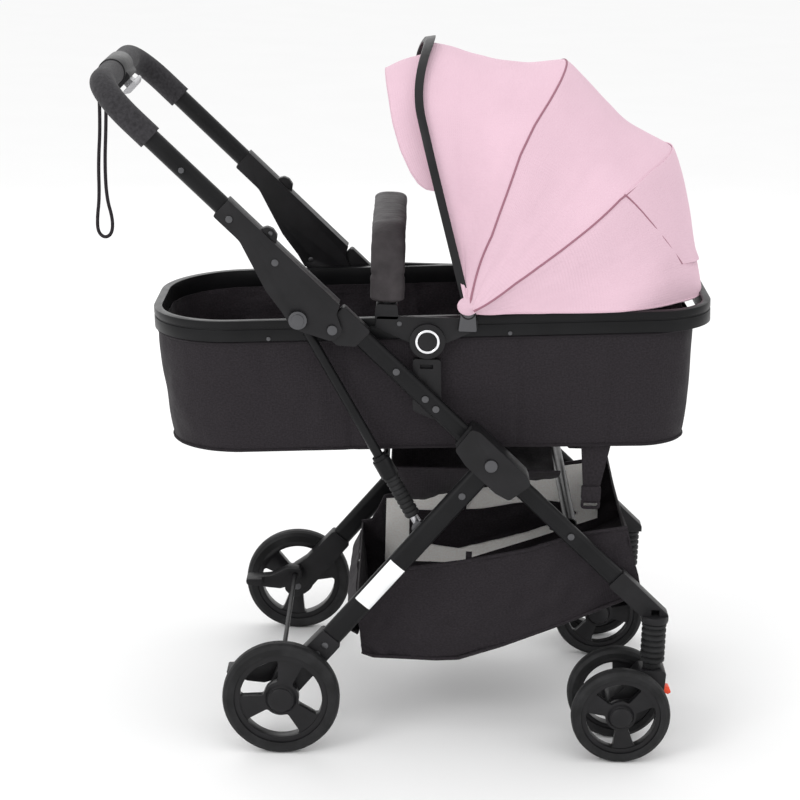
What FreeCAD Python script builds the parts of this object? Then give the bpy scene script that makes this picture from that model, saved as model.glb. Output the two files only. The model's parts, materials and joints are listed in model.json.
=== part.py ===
import FreeCAD, Part
import math
import os

# Folding baby stroller with a lift-off carrycot.  Millimetres, +Z up, +X towards
# the swivel wheels, +Y to the left side.  The origin is on the floor, under the
# middle of the overall length and width.

# ---- driving dimensions ----
GRIP_END = (-352.0, 886.0)      # lower end of the foam grip on the sloping side line
LEG_END = (351.0, 235.0)        # lower end of the front leg on the same line
SIDE_Y = 195.0                  # plane of the handle tubes and front legs
REAR_LEG_Y = 215.0              # plane of the rear legs
STRUT_Y = 193.0                 # plane of the folding struts
REAR_WHEEL_Y = 242.0
REAR_WHEEL_R = 85.0
REAR_WHEEL_X = -161.0
FRONT_WHEEL_R = 72.0
FRONT_WHEEL_X = 331.0
CASTER_X = 377.0
CASTER_Y = 202.0
TWIN_SPACING = 85.0             # between the two wheels of one caster
TYRE_WIDTH = 26.0
FRONT_TYRE_WIDTH = 23.0

HANDLE_R = 13.5
GRIP_R = 18.0
CROSSBAR_S = -99.0              # the handle's crossbar, along the side line
CROSSBAR_BEND = 65.0
LEG_DEEP, LEG_WIDE = 27.0, 18.0
REAR_DEEP, REAR_WIDE = 32.0, 18.0
TUBE_WALL = 1.8

PIVOT_A = (363.0, -18.0)        # handle pivot on the front leg (along, across the line)
PIVOT_B = (-146.0, 640.0)       # strut's upper pivot on the handle
PIVOT_D_S = 657.0               # rear leg pivot on the front leg
PIVOT_C = (32.0, 335.0)         # strut's lower end beside the rear leg
RUN = 0.05                      # running clearance, radial

TILT = 3.0                      # carrycot rises towards the head end
RIM_CENTRE = (35.4, 624.0)
RIM_FOOT, RIM_HEAD = -400.0, 408.0
RIM_HALF = 172.0
RIM_HIGH, RIM_THICK = 30.0, 12.0
SHELL_DEEP = 165.0
FOOT_CORNER, HEAD_CORNER = 125.0, 80.0

HUB = (91.5, 652.0)             # canopy's pivot axis
CANOPY_R = 362.0
CANOPY_W = 187.0
CANOPY_LEG = 185.0              # height of the bows' straight sides
CLOTH = 3.0
MID_BOW, REAR_BOW, REAR_EDGE = 21.0, 53.0, 88.3   # degrees back from upright

BUMPER_X = -23.0
BUMPER_TOP = 751.0
BUTTON = (35.4, 607.0)

V = FreeCAD.Vector
os.makedirs("parts", exist_ok=True)


# ---- helpers ----
def save(name, *shapes):
    shape = shapes[0] if len(shapes) == 1 else Part.makeCompound(list(shapes))
    shape.exportStep("parts/" + name + ".step")


def mirrored(shape):
    return shape.mirror(V(0, 0, 0), V(0, 1, 0))


def save_pair(name, shape):
    save(name, shape, mirrored(shape))


def save_sides(name, shape):
    save(name + "_right", shape)
    save(name + "_left", mirrored(shape))


def unit(a, b):
    length = math.hypot(b[0] - a[0], b[1] - a[1])
    return ((b[0] - a[0]) / length, (b[1] - a[1]) / length)


LINE = unit(GRIP_END, LEG_END)
LINE_LENGTH = math.hypot(LEG_END[0] - GRIP_END[0], LEG_END[1] - GRIP_END[1])


def side(s, n):
    """Point of the side plane, s along the sloping line and n above it."""
    return (GRIP_END[0] + s * LINE[0] - n * LINE[1], GRIP_END[1] + s * LINE[1] + n * LINE[0])


def at(point, y):
    return V(point[0], y, point[1])


def along(a, b, t, n=0.0):
    """Point t along a towards b, n to the left of that direction."""
    d = unit(a, b)
    return (a[0] + t * d[0] - n * d[1], a[1] + t * d[1] + n * d[0])


def rounded(points, radii, place):
    """Closed wire through corners rounded by tangent arcs; place maps 2-D to 3-D."""
    if not isinstance(radii, (list, tuple)):
        radii = [radii] * len(points)
    count = len(points)
    starts, middles, ends = [], [], []
    for i, p in enumerate(points):
        before, after, r = points[i - 1], points[(i + 1) % count], radii[i]
        u, w = unit(p, before), unit(p, after)
        half = math.acos(max(-1.0, min(1.0, u[0] * w[0] + u[1] * w[1]))) / 2
        if r <= 0:
            starts.append(p)
            middles.append(None)
            ends.append(p)
            continue
        t = r / math.tan(half)
        bis = (u[0] + w[0], u[1] + w[1])
        size = math.hypot(*bis)
        reach = r / math.sin(half) - r
        starts.append((p[0] + u[0] * t, p[1] + u[1] * t))
        middles.append((p[0] + bis[0] / size * reach, p[1] + bis[1] / size * reach))
        ends.append((p[0] + w[0] * t, p[1] + w[1] * t))
    edges = []
    for i in range(count):
        if middles[i]:
            arc = Part.Arc(place(*starts[i]), place(*middles[i]), place(*ends[i]))
            edges.append(arc.toShape())
        a, b = place(*ends[i]), place(*starts[(i + 1) % count])
        if (a - b).Length > 1e-6:
            edges.append(Part.LineSegment(a, b).toShape())
    return Part.Wire(edges)


def slab(points, radii, y0, y1):
    """Side outline in X and Z extruded from y0 to y1."""
    wire = rounded(points, radii, lambda x, z: V(x, y0, z))
    return Part.Face(wire).extrude(V(0, y1 - y0, 0))


def line_slab(points, radii, y0, y1):
    return slab([side(s, n) for s, n in points], radii, y0, y1)


def pin(point, r, y0, y1):
    return Part.makeCylinder(r, y1 - y0, at(point, y0), V(0, 1, 0))


def rod(a, b, r):
    return Part.makeCylinder(r, (b - a).Length, a, b - a)


def obround(a, b, y, deep, wide):
    """Flat-sided tube blank from a to b in the side plane y."""
    d = unit(a, b)
    flat = (deep - wide) / 2
    core = slab([along(a, b, 0, flat), along(a, b, 0, -flat),
                 along(b, a, 0, flat), along(b, a, 0, -flat)], 0, y - wide / 2, y + wide / 2)
    length = math.hypot(b[0] - a[0], b[1] - a[1])
    for n in (flat, -flat):
        core = core.fuse(Part.makeCylinder(wide / 2, length, at(along(a, b, 0, n), y),
                                           V(d[0], 0, d[1])))
    return core.removeSplitter()


def tube(a, b, y, deep, wide):
    return obround(a, b, y, deep, wide).cut(
        obround(a, b, y, deep - 2 * TUBE_WALL, wide - 2 * TUBE_WALL))


def turned(profile, centre, y_sign=1.0):
    """Solid of revolution about a Y axis through centre; profile is (radius, y)."""
    wire = Part.makePolygon([V(centre[0] + r, y_sign * y, centre[1]) for r, y in profile + profile[:1]])
    return Part.Face(wire).revolve(at(centre, 0), V(0, 1, 0), 360)


def level(shape):
    """Tilts a carrycot piece built level about the middle of the rim."""
    out = shape.copy()
    out.rotate(at(RIM_CENTRE, 0), V(0, 1, 0), -TILT)
    return out


A = side(*PIVOT_A)
D = side(PIVOT_D_S, 0)
REAR_HUB = (REAR_WHEEL_X, REAR_WHEEL_R)
FRONT_HUB = (FRONT_WHEEL_X, FRONT_WHEEL_R)
REAR_LEG = math.hypot(D[0] - REAR_HUB[0], D[1] - REAR_HUB[1])
STRUT = math.hypot(PIVOT_C[0] - PIVOT_B[0], PIVOT_C[1] - PIVOT_B[1])


# ---- front frame ----
def front_legs():
    leg = tube(side(354, 0), side(LINE_LENGTH, 0), -SIDE_Y, LEG_DEEP, LEG_WIDE)
    leg = leg.cut(pin(D, 5.02, -SIDE_Y - 20, -SIDE_Y + 20))
    for s, n in LEG_BOLTS:
        leg = leg.cut(pin(side(s, n), 3.02, -SIDE_Y - 20, -SIDE_Y + 20))
    save_pair("front_legs", leg)


LEG_BOLTS = [(470.0, 0.0), (527.0, 0.0), (548.0, 0.0), (820.0, 0.0)]


def leg_hinge_brackets():
    y0, y1 = -SIDE_Y - 10, -SIDE_Y + 10
    block = line_slab([(352, 16.5), (352, -5), (353, -18), (363, -31), (384, -31), (404, -14), (404, 16.5)],
                      [4, 2, 8, 9, 9, 4, 4], y0, y1)
    block = block.cut(obround(side(354, 0), side(420, 0), -SIDE_Y, LEG_DEEP, LEG_WIDE))
    save_pair("leg_hinge_brackets", block.cut(pin(A, 4.0, y0, y1)))


def frame_pins():
    """Rivets of the front legs, hinge pins A and cross pins D."""
    y0, y1 = -SIDE_Y - 16.6, -SIDE_Y + 16.6
    pins = [pin(side(s, n), 3.0, -SIDE_Y - 11.5, -SIDE_Y + 9).fuse(
        pin(side(s, n), 5.0, -SIDE_Y - 11.5, -SIDE_Y - 9.02)) for s, n in LEG_BOLTS]
    pins.append(pin(A, 4.0, y0, y1).fuse(pin(A, 7.0, y0 - 2.4, y0)))
    pins.append(pin(D, 5.0, -REAR_LEG_Y - 14, -SIDE_Y + 12).fuse(
        pin(D, 9.0, -REAR_LEG_Y - 17, -REAR_LEG_Y - 14)))
    save("frame_pins", *pins, *[mirrored(b) for b in pins])


def cross_housings():
    """Housing of the rear leg's pivot: an inner block on the front leg, a web above
    and an outer cheek, with the rear leg turning in the slot between them."""
    y_in, y_out = -SIDE_Y + 13, -REAR_LEG_Y - 14
    outline = [(600, 19), (604, -19), (630, -25), (690, -25), (712, -19), (718, 19), (706, 24), (612, 24)]
    block = line_slab(outline, [6, 6, 10, 10, 6, 6, 8, 8], y_out, y_in)
    block = block.cut(obround(side(590, 0), side(730, 0), -SIDE_Y, LEG_DEEP, LEG_WIDE))
    slot = line_slab([(590, 18), (590, -40), (730, -40), (730, 18)], 0, -REAR_LEG_Y - 10, -REAR_LEG_Y + 10)
    block = block.cut(slot).cut(pin(D, 5.02, y_out, y_in))
    save_pair("cross_housings", block)


SOCKET_TOP = 212.0


def caster_sockets():
    """Plastic end of each front leg, with the cap that the swivel column slides in."""
    s, x, y = LINE_LENGTH, CASTER_X, -CASTER_Y
    knee = slab([side(s - 46, 15.0), (x + 19.5, SOCKET_TOP + 1), (x + 19.5, 204), (x - 19.5, 204),
                 (x - 19.5, SOCKET_TOP - 2), side(s - 46, -15.0)], [4, 5, 0, 0, 5, 4],
                -SIDE_Y - 12.5, -SIDE_Y + 12.5)
    knee = knee.fuse(Part.makeCylinder(19.5, SOCKET_TOP - 202, V(x, y, 202)))
    knee = knee.cut(obround(side(s - 60, 0), side(s, 0), -SIDE_Y, LEG_DEEP, LEG_WIDE))
    knee = knee.cut(Part.makeCylinder(18.2, 8, V(x, y, 201.6)))
    knee = knee.cut(Part.makeCylinder(8 + RUN, 20, V(x, y, 201)))
    save_pair("caster_sockets", knee.removeSplitter())


def front_crossbar():
    point = side(812, 9)
    bar = pin(point, 9.0, -SIDE_Y + 9.5, SIDE_Y - 9.5).cut(pin(point, 7.4, -SIDE_Y, SIDE_Y))
    save("front_crossbar", bar)


def seat_uprights():
    """Upright inside each front leg that carries the carrycot's hub."""
    y0, y1 = -SIDE_Y + 9, -SIDE_Y + 21
    x = BUTTON[0]
    post = slab([(x - 20, 581), (x - 18, 505), (x + 24, 488), (x + 20, 581)], [5, 5, 8, 5], y0, y1)
    post = post.cut(slab([(x - 12, 590), (x - 12, 530), (x + 12, 530), (x + 12, 590)], 0, y0 + 3.5, y1 - 3.5))
    post = post.cut(slab([(x - 9, 573), (x - 9, 567), (x + 9, 567), (x + 9, 573)], 0, y0 - 1, y0 + 4))
    save_pair("seat_uprights", post)


# ---- basket ----
BASKET_HALF = 170.0
BASKET_OUTLINE = [(-58, 214), (-46, 116), (25, 114), (95, 114), (236, 170), (326, 212), (366, 228),
                  (334, 336), (262, 322), (190, 294), (110, 276), (28, 262), (-20, 260), (-34, 218)]


def inset(points, gap):
    """Outline moved inwards by gap, for a convex or gently hollow outline."""
    out, count = [], len(points)
    for i, p in enumerate(points):
        u, w = unit(points[i - 1], p), unit(p, points[(i + 1) % count])
        nu, nw = (-u[1], u[0]), (-w[1], w[0])
        scale = gap / (1 + nu[0] * nw[0] + nu[1] * nw[1])
        out.append((p[0] + (nu[0] + nw[0]) * scale, p[1] + (nu[1] + nw[1]) * scale))
    return out


def basket_body():
    radii = [4, 14, 0, 20, 30, 30, 14, 10, 20, 20, 20, 20, 10, 8]
    outer = slab(BASKET_OUTLINE, radii, -BASKET_HALF, BASKET_HALF)
    lower = inset(BASKET_OUTLINE, 4)
    hollow = lower[:8] + [(334, 420), (-54, 420)]
    inner = slab(hollow, 0, -BASKET_HALF + 4, BASKET_HALF - 4)
    save("basket_body", outer.cut(inner))


def basket_pockets():
    """Stiffening boards and slip pockets inside both long walls, and the rear wall's pocket."""
    y1 = -BASKET_HALF + 4
    board = slab([(-16, 150), (96, 150), (225, 196), (322, 232), (318, 326), (262, 317), (190, 289),
                  (110, 271), (28, 257), (-16, 256)], 5, y1, y1 + 2.5)
    slip = slab([(20, 178), (100, 174), (215, 208), (285, 240), (262, 263), (215, 263), (130, 247),
                 (20, 236)], 8, y1 + 2.6, y1 + 8)
    pocket = slab([(-58.5, 206), (-76, 190), (-73, 150), (-51.5, 146)], [1, 12, 10, 2], -150, 150)
    save("basket_pockets", board, mirrored(board), slip, mirrored(slip), pocket)


# ---- rear legs ----
def rear_leg_tubes():
    leg = tube(D, along(D, REAR_HUB, 388), -REAR_LEG_Y, REAR_DEEP, REAR_WIDE)
    head = pin(D, 16.0, -REAR_LEG_Y - 9, -REAR_LEG_Y + 9)
    head = head.fuse(obround(D, along(D, REAR_HUB, 30), -REAR_LEG_Y, REAR_DEEP, REAR_WIDE))
    leg = leg.fuse(head).removeSplitter().cut(pin(D, 5.0 + RUN, -REAR_LEG_Y - 10, -REAR_LEG_Y + 10))
    save_pair("rear_leg_tubes", leg)


def rear_hub_brackets():
    y0, y1 = -REAR_LEG_Y - 11.5, -REAR_LEG_Y + 12
    top = [along(D, REAR_HUB, t, n) for t, n in ((346, 17.6), (346, -17.6), (412, -20), (REAR_LEG - 20, -27),
                                                 (REAR_LEG + 18, -14), (REAR_LEG + 20, 8), (REAR_LEG, 18))]
    block = slab(top, [5, 5, 12, 12, 10, 10, 12], y0, y1)
    block = block.cut(obround(along(D, REAR_HUB, 340), along(D, REAR_HUB, 388), -REAR_LEG_Y,
                              REAR_DEEP, REAR_WIDE))
    block = block.cut(pin(REAR_HUB, 6.0, y0, y1)).cut(pin(BRAKE, 3.5 + RUN, y0 - 1, y1 + 1))
    save_pair("rear_hub_brackets", block)


BRAKE = (-164.0, 113.0)


def rear_leg_fittings():
    """Stub axles, rivets, and the boss on the leg's inside under the strut's foot."""
    shaft = pin(REAR_HUB, 6.0, -REAR_WHEEL_Y - 12, -REAR_LEG_Y + 12)
    leg_side = -REAR_LEG_Y + 9
    boss = pin(PIVOT_C, 11.0, leg_side, leg_side + 1.6)
    plate = slab([along(D, REAR_HUB, t, n) for t, n in ((128, 13), (128, -13), (172, -13), (172, 13))], 5,
                 leg_side, leg_side + 1.6)
    out = [shaft, boss.fuse(plate).removeSplitter()]
    for t, cover in ((362.0, 11.5), (380.0, 11.5), (62.0, 9.0)):
        face = -REAR_LEG_Y - cover
        out.append(pin(along(D, REAR_HUB, t), 5.0, face - 1.2, face))
    save("rear_leg_fittings", *out, *[mirrored(r) for r in out])


# ---- brake ----
def brake():
    link = pin(BRAKE, 3.5, -REAR_LEG_Y + 2, REAR_LEG_Y - 2)
    x, z = BRAKE
    outline = [(x + 11, z + 10), (x + 9, z - 14), (x - 24, z - 24), (x - 48, z - 22), (x - 76, z - 14),
               (x - 78, z - 7), (x - 40, z - 3), (x - 12, z + 11)]
    pedal = slab(outline, [6, 8, 10, 10, 3, 3, 8, 6], -REAR_LEG_Y + 12.6, -REAR_LEG_Y + 34)
    pad = slab([(x - 52, z - 5), (x - 52, z - 17), (x - 78, z - 15), (x - 80, z - 6)], 3,
               -REAR_LEG_Y + 12.6, -REAR_LEG_Y + 44)
    pedal = pedal.fuse(pad).removeSplitter().cut(pin(BRAKE, 3.5, -230, -100))
    save("brake_linkage", link, pedal, mirrored(pedal))


# ---- wheels ----
def wheel(name, centre, y, radius, width, bore, suffix, spoke):
    """Tyre, three-spoke rim and hub cap of one wheel, spun about a Y axis."""
    h = width / 2
    band = radius * 0.80
    tyre = [(radius - 7, -h), (radius - 2, -h + 3), (radius, -h + 8), (radius, h - 8),
            (radius - 2, h - 3), (radius - 7, h), (band, h - 2), (band, -h + 2)]
    shift = [(r, y + t) for r, t in tyre]
    save("tyre_" + suffix, turned(shift, centre))
    hub_r = radius * 0.27
    inner = radius * 0.70
    ring = [(inner, -h + 3.5), (band, -h + 3.5), (band, h - 3.5), (inner, h - 3.5)]
    rim = turned([(r, y + t) for r, t in ring], centre)
    web = [(bore, -h + 6), (inner + 1, -h + 6), (inner + 1, h - 6), (bore, h - 6)]
    disc = turned([(r, y + t) for r, t in web], centre)
    for k in range(3):
        disc = disc.cut(window(centre, y, radius, hub_r, inner, spoke + 120 * k))
    hub = turned([(bore, y - h + 0.5), (hub_r * 0.82, y - h + 0.5), (hub_r, y - h + 6),
                  (hub_r, y + h - 6), (hub_r * 0.82, y + h - 0.5), (bore, y + h - 0.5)], centre)
    rim = rim.fuse(disc).fuse(hub).removeSplitter()
    out = -1 if name == "right" else 1
    face = y + out * (h - 0.5)
    r = hub_r * 0.78
    cap = turned([(0, face), (r, face), (r, face + out * 2), (r * 0.7, face + out * 4),
                  (0, face + out * 4.5)], centre)
    save("rim_" + suffix, rim, cap)


def window(centre, y, radius, hub_r, inner, spoke):
    """One curved opening between two spokes; spoke is the angle of the first."""
    near, far = hub_r + 3, inner
    half_in, half_out = radius * 0.125, radius * 0.215
    a0, a1 = math.radians(spoke), math.radians(spoke + 120)
    corners = []
    for r, half in ((near, half_in), (far, half_out)):
        turn = math.asin(half / r)
        corners.append((r, a0 + turn, a1 - turn))
    (r0, b0, b1), (r1, c0, c1) = corners

    def place(r, angle):
        return V(centre[0] + r * math.cos(angle), y - 20, centre[1] + r * math.sin(angle))

    edges = [Part.LineSegment(place(r0, b0), place(r1, c0)).toShape(),
             Part.Arc(place(r1, c0), place(r1, (c0 + c1) / 2), place(r1, c1)).toShape(),
             Part.LineSegment(place(r1, c1), place(r0, b1)).toShape(),
             Part.Arc(place(r0, b1), place(r0, (b0 + b1) / 2), place(r0, b0)).toShape()]
    solid = Part.Face(Part.Wire(edges)).extrude(V(0, 40, 0))
    upright = [e for e in solid.Edges if abs(e.tangentAt(e.FirstParameter).y) > 0.99]
    return solid.makeFillet(radius * 0.05, upright)


SPOKES = {"rear_right": 77, "rear_left": 23, "front_right_outer": 37, "front_right_inner": 80,
          "front_left_inner": 0, "front_left_outer": 50}   # degrees to the first spoke


def wheels():
    for name, sign in (("right", -1), ("left", 1)):
        wheel(name, REAR_HUB, sign * REAR_WHEEL_Y, REAR_WHEEL_R, TYRE_WIDTH, 6 + RUN, "rear_" + name,
              SPOKES["rear_" + name])
        for place, shift in (("outer", sign), ("inner", -sign)):
            y = sign * CASTER_Y + shift * TWIN_SPACING / 2
            facing = "right" if shift < 0 else "left"
            wheel(facing, FRONT_HUB, y, FRONT_WHEEL_R, FRONT_TYRE_WIDTH, 5 + RUN,
                  "front_" + name + "_" + place, SPOKES["front_" + name + "_" + place])


# ---- casters ----
STEM_TOP, STEM_LOW = 203.0, 140.0      # span of the ribbed sleeve


def casters():
    y = -CASTER_Y
    pitch = (STEM_TOP - STEM_LOW - 1.0) / 7
    profile = [(8.2, STEM_LOW)]
    for k in range(7):
        z = STEM_LOW + k * pitch
        profile += [(14.5, z), (17.8, z + 0.3 * pitch), (17.8, z + 0.7 * pitch), (14.5, z + pitch)]
    profile += [(8.2, STEM_LOW + 7 * pitch)]
    wire = Part.makePolygon([V(CASTER_X + r, y, z) for r, z in profile + profile[:1]])
    bellows = Part.Face(wire).revolve(V(CASTER_X, y, 0), V(0, 0, 1), 360)
    stem = Part.makeCylinder(8.0, 80, V(CASTER_X, y, 132))
    for r, high, z in ((13.0, 7.9, 132), (6.0, 20, 113)):
        stem = stem.fuse(Part.makeCylinder(r, high, V(CASTER_X, y, z)))
    stem = stem.removeSplitter()
    save("caster_column_right", stem, bellows)
    save("caster_column_left", mirrored(stem), mirrored(bellows))
    half = (TWIN_SPACING - FRONT_TYRE_WIDTH) / 2 - 1.5
    x, z = FRONT_HUB
    outline = [(CASTER_X - 20, 131.7), (CASTER_X + 20, 131.7), (CASTER_X + 18, 100), (x + 30, 62),
               (x + 8, 56), (x - 16, 60), (x - 18, 84), (x + 6, 104)]
    fork = slab(outline, [6, 6, 12, 8, 8, 8, 10, 16], y - half, y + half)
    cheek = slab([(CASTER_X - 60, 145), (CASTER_X - 60, 88), (CASTER_X + 60, 88), (CASTER_X + 60, 145)], 0,
                 y - half, y - 19)
    fork = fork.cut(cheek).cut(cheek.mirror(V(0, y, 0), V(0, 1, 0)))
    fork = fork.cut(pin(FRONT_HUB, 5.0, y - 60, y + 60))
    fork = fork.cut(Part.makeBox(20, 16, 28, V(CASTER_X + 9, y - 8, 82)))
    fork = fork.cut(Part.makeCylinder(6 + RUN, 21, V(CASTER_X, y, 112)))
    reach = (TWIN_SPACING + FRONT_TYRE_WIDTH) / 2 - 1.0
    axle = pin(FRONT_HUB, 5.0, y - reach, y + reach)
    save("caster_fork_right", fork, axle)
    save("caster_fork_left", mirrored(fork), mirrored(axle))
    lever = slab([(CASTER_X + 13, 103), (CASTER_X + 13, 97), (CASTER_X + 25, 91), (CASTER_X + 30, 94),
                  (CASTER_X + 26, 102)], [2, 2, 2, 2, 3], y - 7.5, y + 7.5)
    lever = lever.fuse(pin((CASTER_X + 13, 100), 3.2, y - 7.5, y + 7.5)).removeSplitter()
    save_sides("swivel_lock", lever)


# ---- handle ----
def handle_tube():
    """Bent tube with a straight crossbar; both ends run down into the housings."""
    low, bend = 300.0, CROSSBAR_BEND

    def p(s, y):
        return at(side(s, 0), y)

    top, k = CROSSBAR_S, bend * (1 - math.sqrt(0.5))
    right = -SIDE_Y
    edges = [Part.LineSegment(p(low, right), p(top + bend, right)).toShape(),
             Part.Arc(p(top + bend, right), p(top + k, right + k), p(top, right + bend)).toShape(),
             Part.LineSegment(p(top, right + bend), p(top, -right - bend)).toShape(),
             Part.Arc(p(top, -right - bend), p(top + k, -right - k), p(top + bend, -right)).toShape(),
             Part.LineSegment(p(top + bend, -right), p(low, -right)).toShape()]

    def sweep(selection, r):
        start = selection[0].Vertexes[0].Point
        ring = Part.Wire(Part.makeCircle(r, start, selection[0].tangentAt(selection[0].FirstParameter)))
        return Part.Wire(selection).makePipeShell([ring], True, False)

    save("handle_tube", sweep(edges, HANDLE_R).cut(sweep(edges, HANDLE_R - TUBE_WALL)))
    grip = [Part.LineSegment(p(0, right), p(top + bend, right)).toShape(), edges[1],
            Part.LineSegment(p(top, right + bend), p(top, -GRIP_GAP)).toShape()]
    save_pair("foam_grips", sweep(grip, GRIP_R).cut(sweep(grip, HANDLE_R)))


GRIP_GAP = 46.0


def release_hub():
    """Moulded hub in the middle of the crossbar."""
    s = CROSSBAR_S
    centre = side(s, 0)
    hub = pin(centre, 20.0, -GRIP_GAP, GRIP_GAP)
    hub = hub.fuse(line_slab([(s, 17), (s, -17), (s + 24, -13), (s + 24, 13)], 4, -38, 38))
    hub = hub.cut(pin(centre, HANDLE_R, -60, 60))
    hub = hub.cut(line_slab([(s + 16, 7), (s + 16, -7), (s + 30, -7), (s + 30, 7)], 0, -15, 15))
    low = line_slab([(s + 5, -12.6), (s + 5, -30), (s + 15, -30), (s + 15, -12.6)], 0, -6.5, 6.5)
    save("release_hub", hub.cut(low).removeSplitter())


def release_lever():
    s = CROSSBAR_S
    lever = line_slab([(s + 30, 11), (s + 30, -11), (s + 35, -12), (s + 39, -5), (s + 39, 5), (s + 35, 12)],
                      [2, 2, 4, 5, 5, 4], -34, 34)
    shank = line_slab([(s + 22, 6.5), (s + 22, -6.5), (s + 31, -6.5), (s + 31, 6.5)], 0, -14.5, 14.5)
    save("release_lever", shank.fuse(lever).removeSplitter())


def release_button():
    s = CROSSBAR_S
    save("release_button", line_slab([(s + 5.3, -15), (s + 5.3, -22), (s + 14.7, -22), (s + 14.7, -15)],
                                     [0, 2, 2, 0], -6.2, 6.2))


HOUSING = [(134, 14.8), (134, -16.5), (184, -16.5), (214, -27), (258, -42), (298, -49), (318, -55), (334, -50),
           (375, -30), (376, -10), (352, 2), (346, 14.8)]
HOUSING_SCREWS = [(153.0, -4.0), (240.0, -4.0)]


def fold_housings():
    """Sleeve on each handle tube whose two plates carry pivots A and B."""
    y0, y1 = -SIDE_Y - 16.5, -SIDE_Y + 16.5
    body = line_slab(HOUSING, [1, 3, 30, 20, 20, 14, 8, 10, 12, 10, 4, 1], y0, y1)
    tab = line_slab([(194, 14.2), (199, 23), (207, 26), (217, 24), (224, 14.2)], [0, 5, 4, 5, 0],
                    y0 + 10, y1 - 10)
    body = body.fuse(tab).removeSplitter()
    body = body.cut(rod(at(side(120, 0), -SIDE_Y), at(side(301, 0), -SIDE_Y), HANDLE_R))
    gap0, gap1 = -SIDE_Y - 10.3, -SIDE_Y + 10.3
    gap = [(345, 30), (345, -17), (250, -17), (250, -80), (420, -80), (420, 30)]
    body = body.cut(line_slab(gap, 0, gap0, gap1))
    body = body.cut(pin(PIVOT_B, 4.0, y0, y1)).cut(pin(A, 4.0 + RUN, y0, y1))
    save_pair("fold_housings", body)


def handle_fasteners():
    """Screws of the housings, and knob B that the strut turns on."""
    y0, y1 = -SIDE_Y - 16.6, -SIDE_Y + 16.6
    out = [pin(side(s, n), 5.0, -SIDE_Y - 18.5, -SIDE_Y - 16.5) for s, n in HOUSING_SCREWS]
    out.append(pin(side(208, 19.6), 3.2, -SIDE_Y - 8.5, -SIDE_Y - 6.5))
    out.append(pin(side(60, 0), 4.0, -SIDE_Y - 19.6, -SIDE_Y - 13.52))
    knob = pin(PIVOT_B, 4.0, y0, y1).fuse(pin(PIVOT_B, 13.0, y0 - 7, y0))
    out.append(knob.fuse(pin(PIVOT_B, 9.0, y0 - 9, y0 - 7)).removeSplitter())
    save("handle_fasteners", *out, *[mirrored(s) for s in out])


# ---- struts ----
def strut_at(t, n=0.0):
    return along(PIVOT_B, PIVOT_C, t, n)


def strut_rod(t0, t1, r):
    return rod(at(strut_at(t0), -STRUT_Y), at(strut_at(t1), -STRUT_Y), r)


COLLAR = (238.0, 266.0)
GAITER = (266.0, 334.0)


def struts():
    eye = pin(PIVOT_B, 10.0, -STRUT_Y - 7.5, -STRUT_Y + 7.5)
    arm = strut_rod(0, COLLAR[0], 7.0).fuse(eye).removeSplitter().cut(pin(PIVOT_B, 4.0 + RUN, -220, -160))
    collar = strut_rod(COLLAR[0], COLLAR[1], 13.0).fuse(strut_rod(COLLAR[0] - 6, COLLAR[0], 10.5))
    collar = collar.cut(strut_rod(COLLAR[0] - 8, COLLAR[0], 7.0))
    bar = strut_at(254)
    collar = collar.removeSplitter().cut(pin(bar, 5.0, -STRUT_Y, 0))
    save("strut_frame", arm, mirrored(arm), collar, mirrored(collar), pin(bar, 5.0, -STRUT_Y, STRUT_Y))
    pitch = (GAITER[1] - GAITER[0]) / 9
    rings = []
    for k in range(9):
        t = GAITER[0] + k * pitch
        rings += [(9.5, t), (11.0, t + 0.3 * pitch), (11.0, t + 0.7 * pitch), (9.5, t + pitch)]
    start = at(PIVOT_B, -STRUT_Y)
    axis = at(PIVOT_C, -STRUT_Y) - start
    axis.normalize()
    profile = [(7.2, GAITER[0])] + rings + [(7.2, GAITER[1])]
    wire = Part.makePolygon([start + axis * t + V(0, r, 0) for r, t in profile + profile[:1]])
    save_pair("strut_gaiters", Part.Face(wire).revolve(start, axis, 360))


def strut_feet():
    """Sprung plunger under each strut, ending beside the rear leg's boss."""
    foot = strut_rod(280, STRUT, 6.0).fuse(pin(PIVOT_C, 8.5, -STRUT_Y - 10.4, -STRUT_Y + 7))
    save_pair("strut_feet", foot.removeSplitter())


# ---- carrycot ----
def plan(foot, head, half, z, foot_r, head_r):
    x0 = RIM_CENTRE[0]
    points = [(x0 + foot, -half), (x0 + head, -half), (x0 + head, half), (x0 + foot, half)]
    return rounded(points, [foot_r, head_r, head_r, foot_r], lambda x, y: V(x, y, z))


def ring(gap, z, high):
    """Rim outline moved inwards by gap and raised by high."""
    wire = plan(RIM_FOOT + gap, RIM_HEAD - gap, RIM_HALF - gap, z, FOOT_CORNER - gap, HEAD_CORNER - gap)
    return Part.Face(wire).extrude(V(0, 0, high))


def carrycot_rim():
    z = RIM_CENTRE[1] - RIM_HIGH / 2
    band = ring(0, z, RIM_HIGH).cut(ring(RIM_THICK, z - 1, RIM_HIGH + 2))
    groove = ring(-5, z + 17, 3).cut(ring(1.6, z + 16, 5))
    save("carrycot_rim", level(band.cut(groove)))


def shell_solid(gap, lift):
    top = RIM_CENTRE[1] - RIM_HIGH / 2
    low = top - SHELL_DEEP + lift
    upper = plan(RIM_FOOT + 6 + gap, RIM_HEAD - 26 - gap, RIM_HALF - 7 - gap, top, FOOT_CORNER - 8 - gap,
                 HEAD_CORNER - 8 - gap)
    under = plan(RIM_FOOT + 20 + gap, RIM_HEAD - 41 - gap, RIM_HALF - 14 - gap, low, FOOT_CORNER - 14 - gap,
                 HEAD_CORNER - 14 - gap)
    return Part.makeLoft([under, upper], True, True)


def carrycot_shell():
    save("carrycot_shell", level(shell_solid(0, 0).cut(shell_solid(4, 5))))


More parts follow.
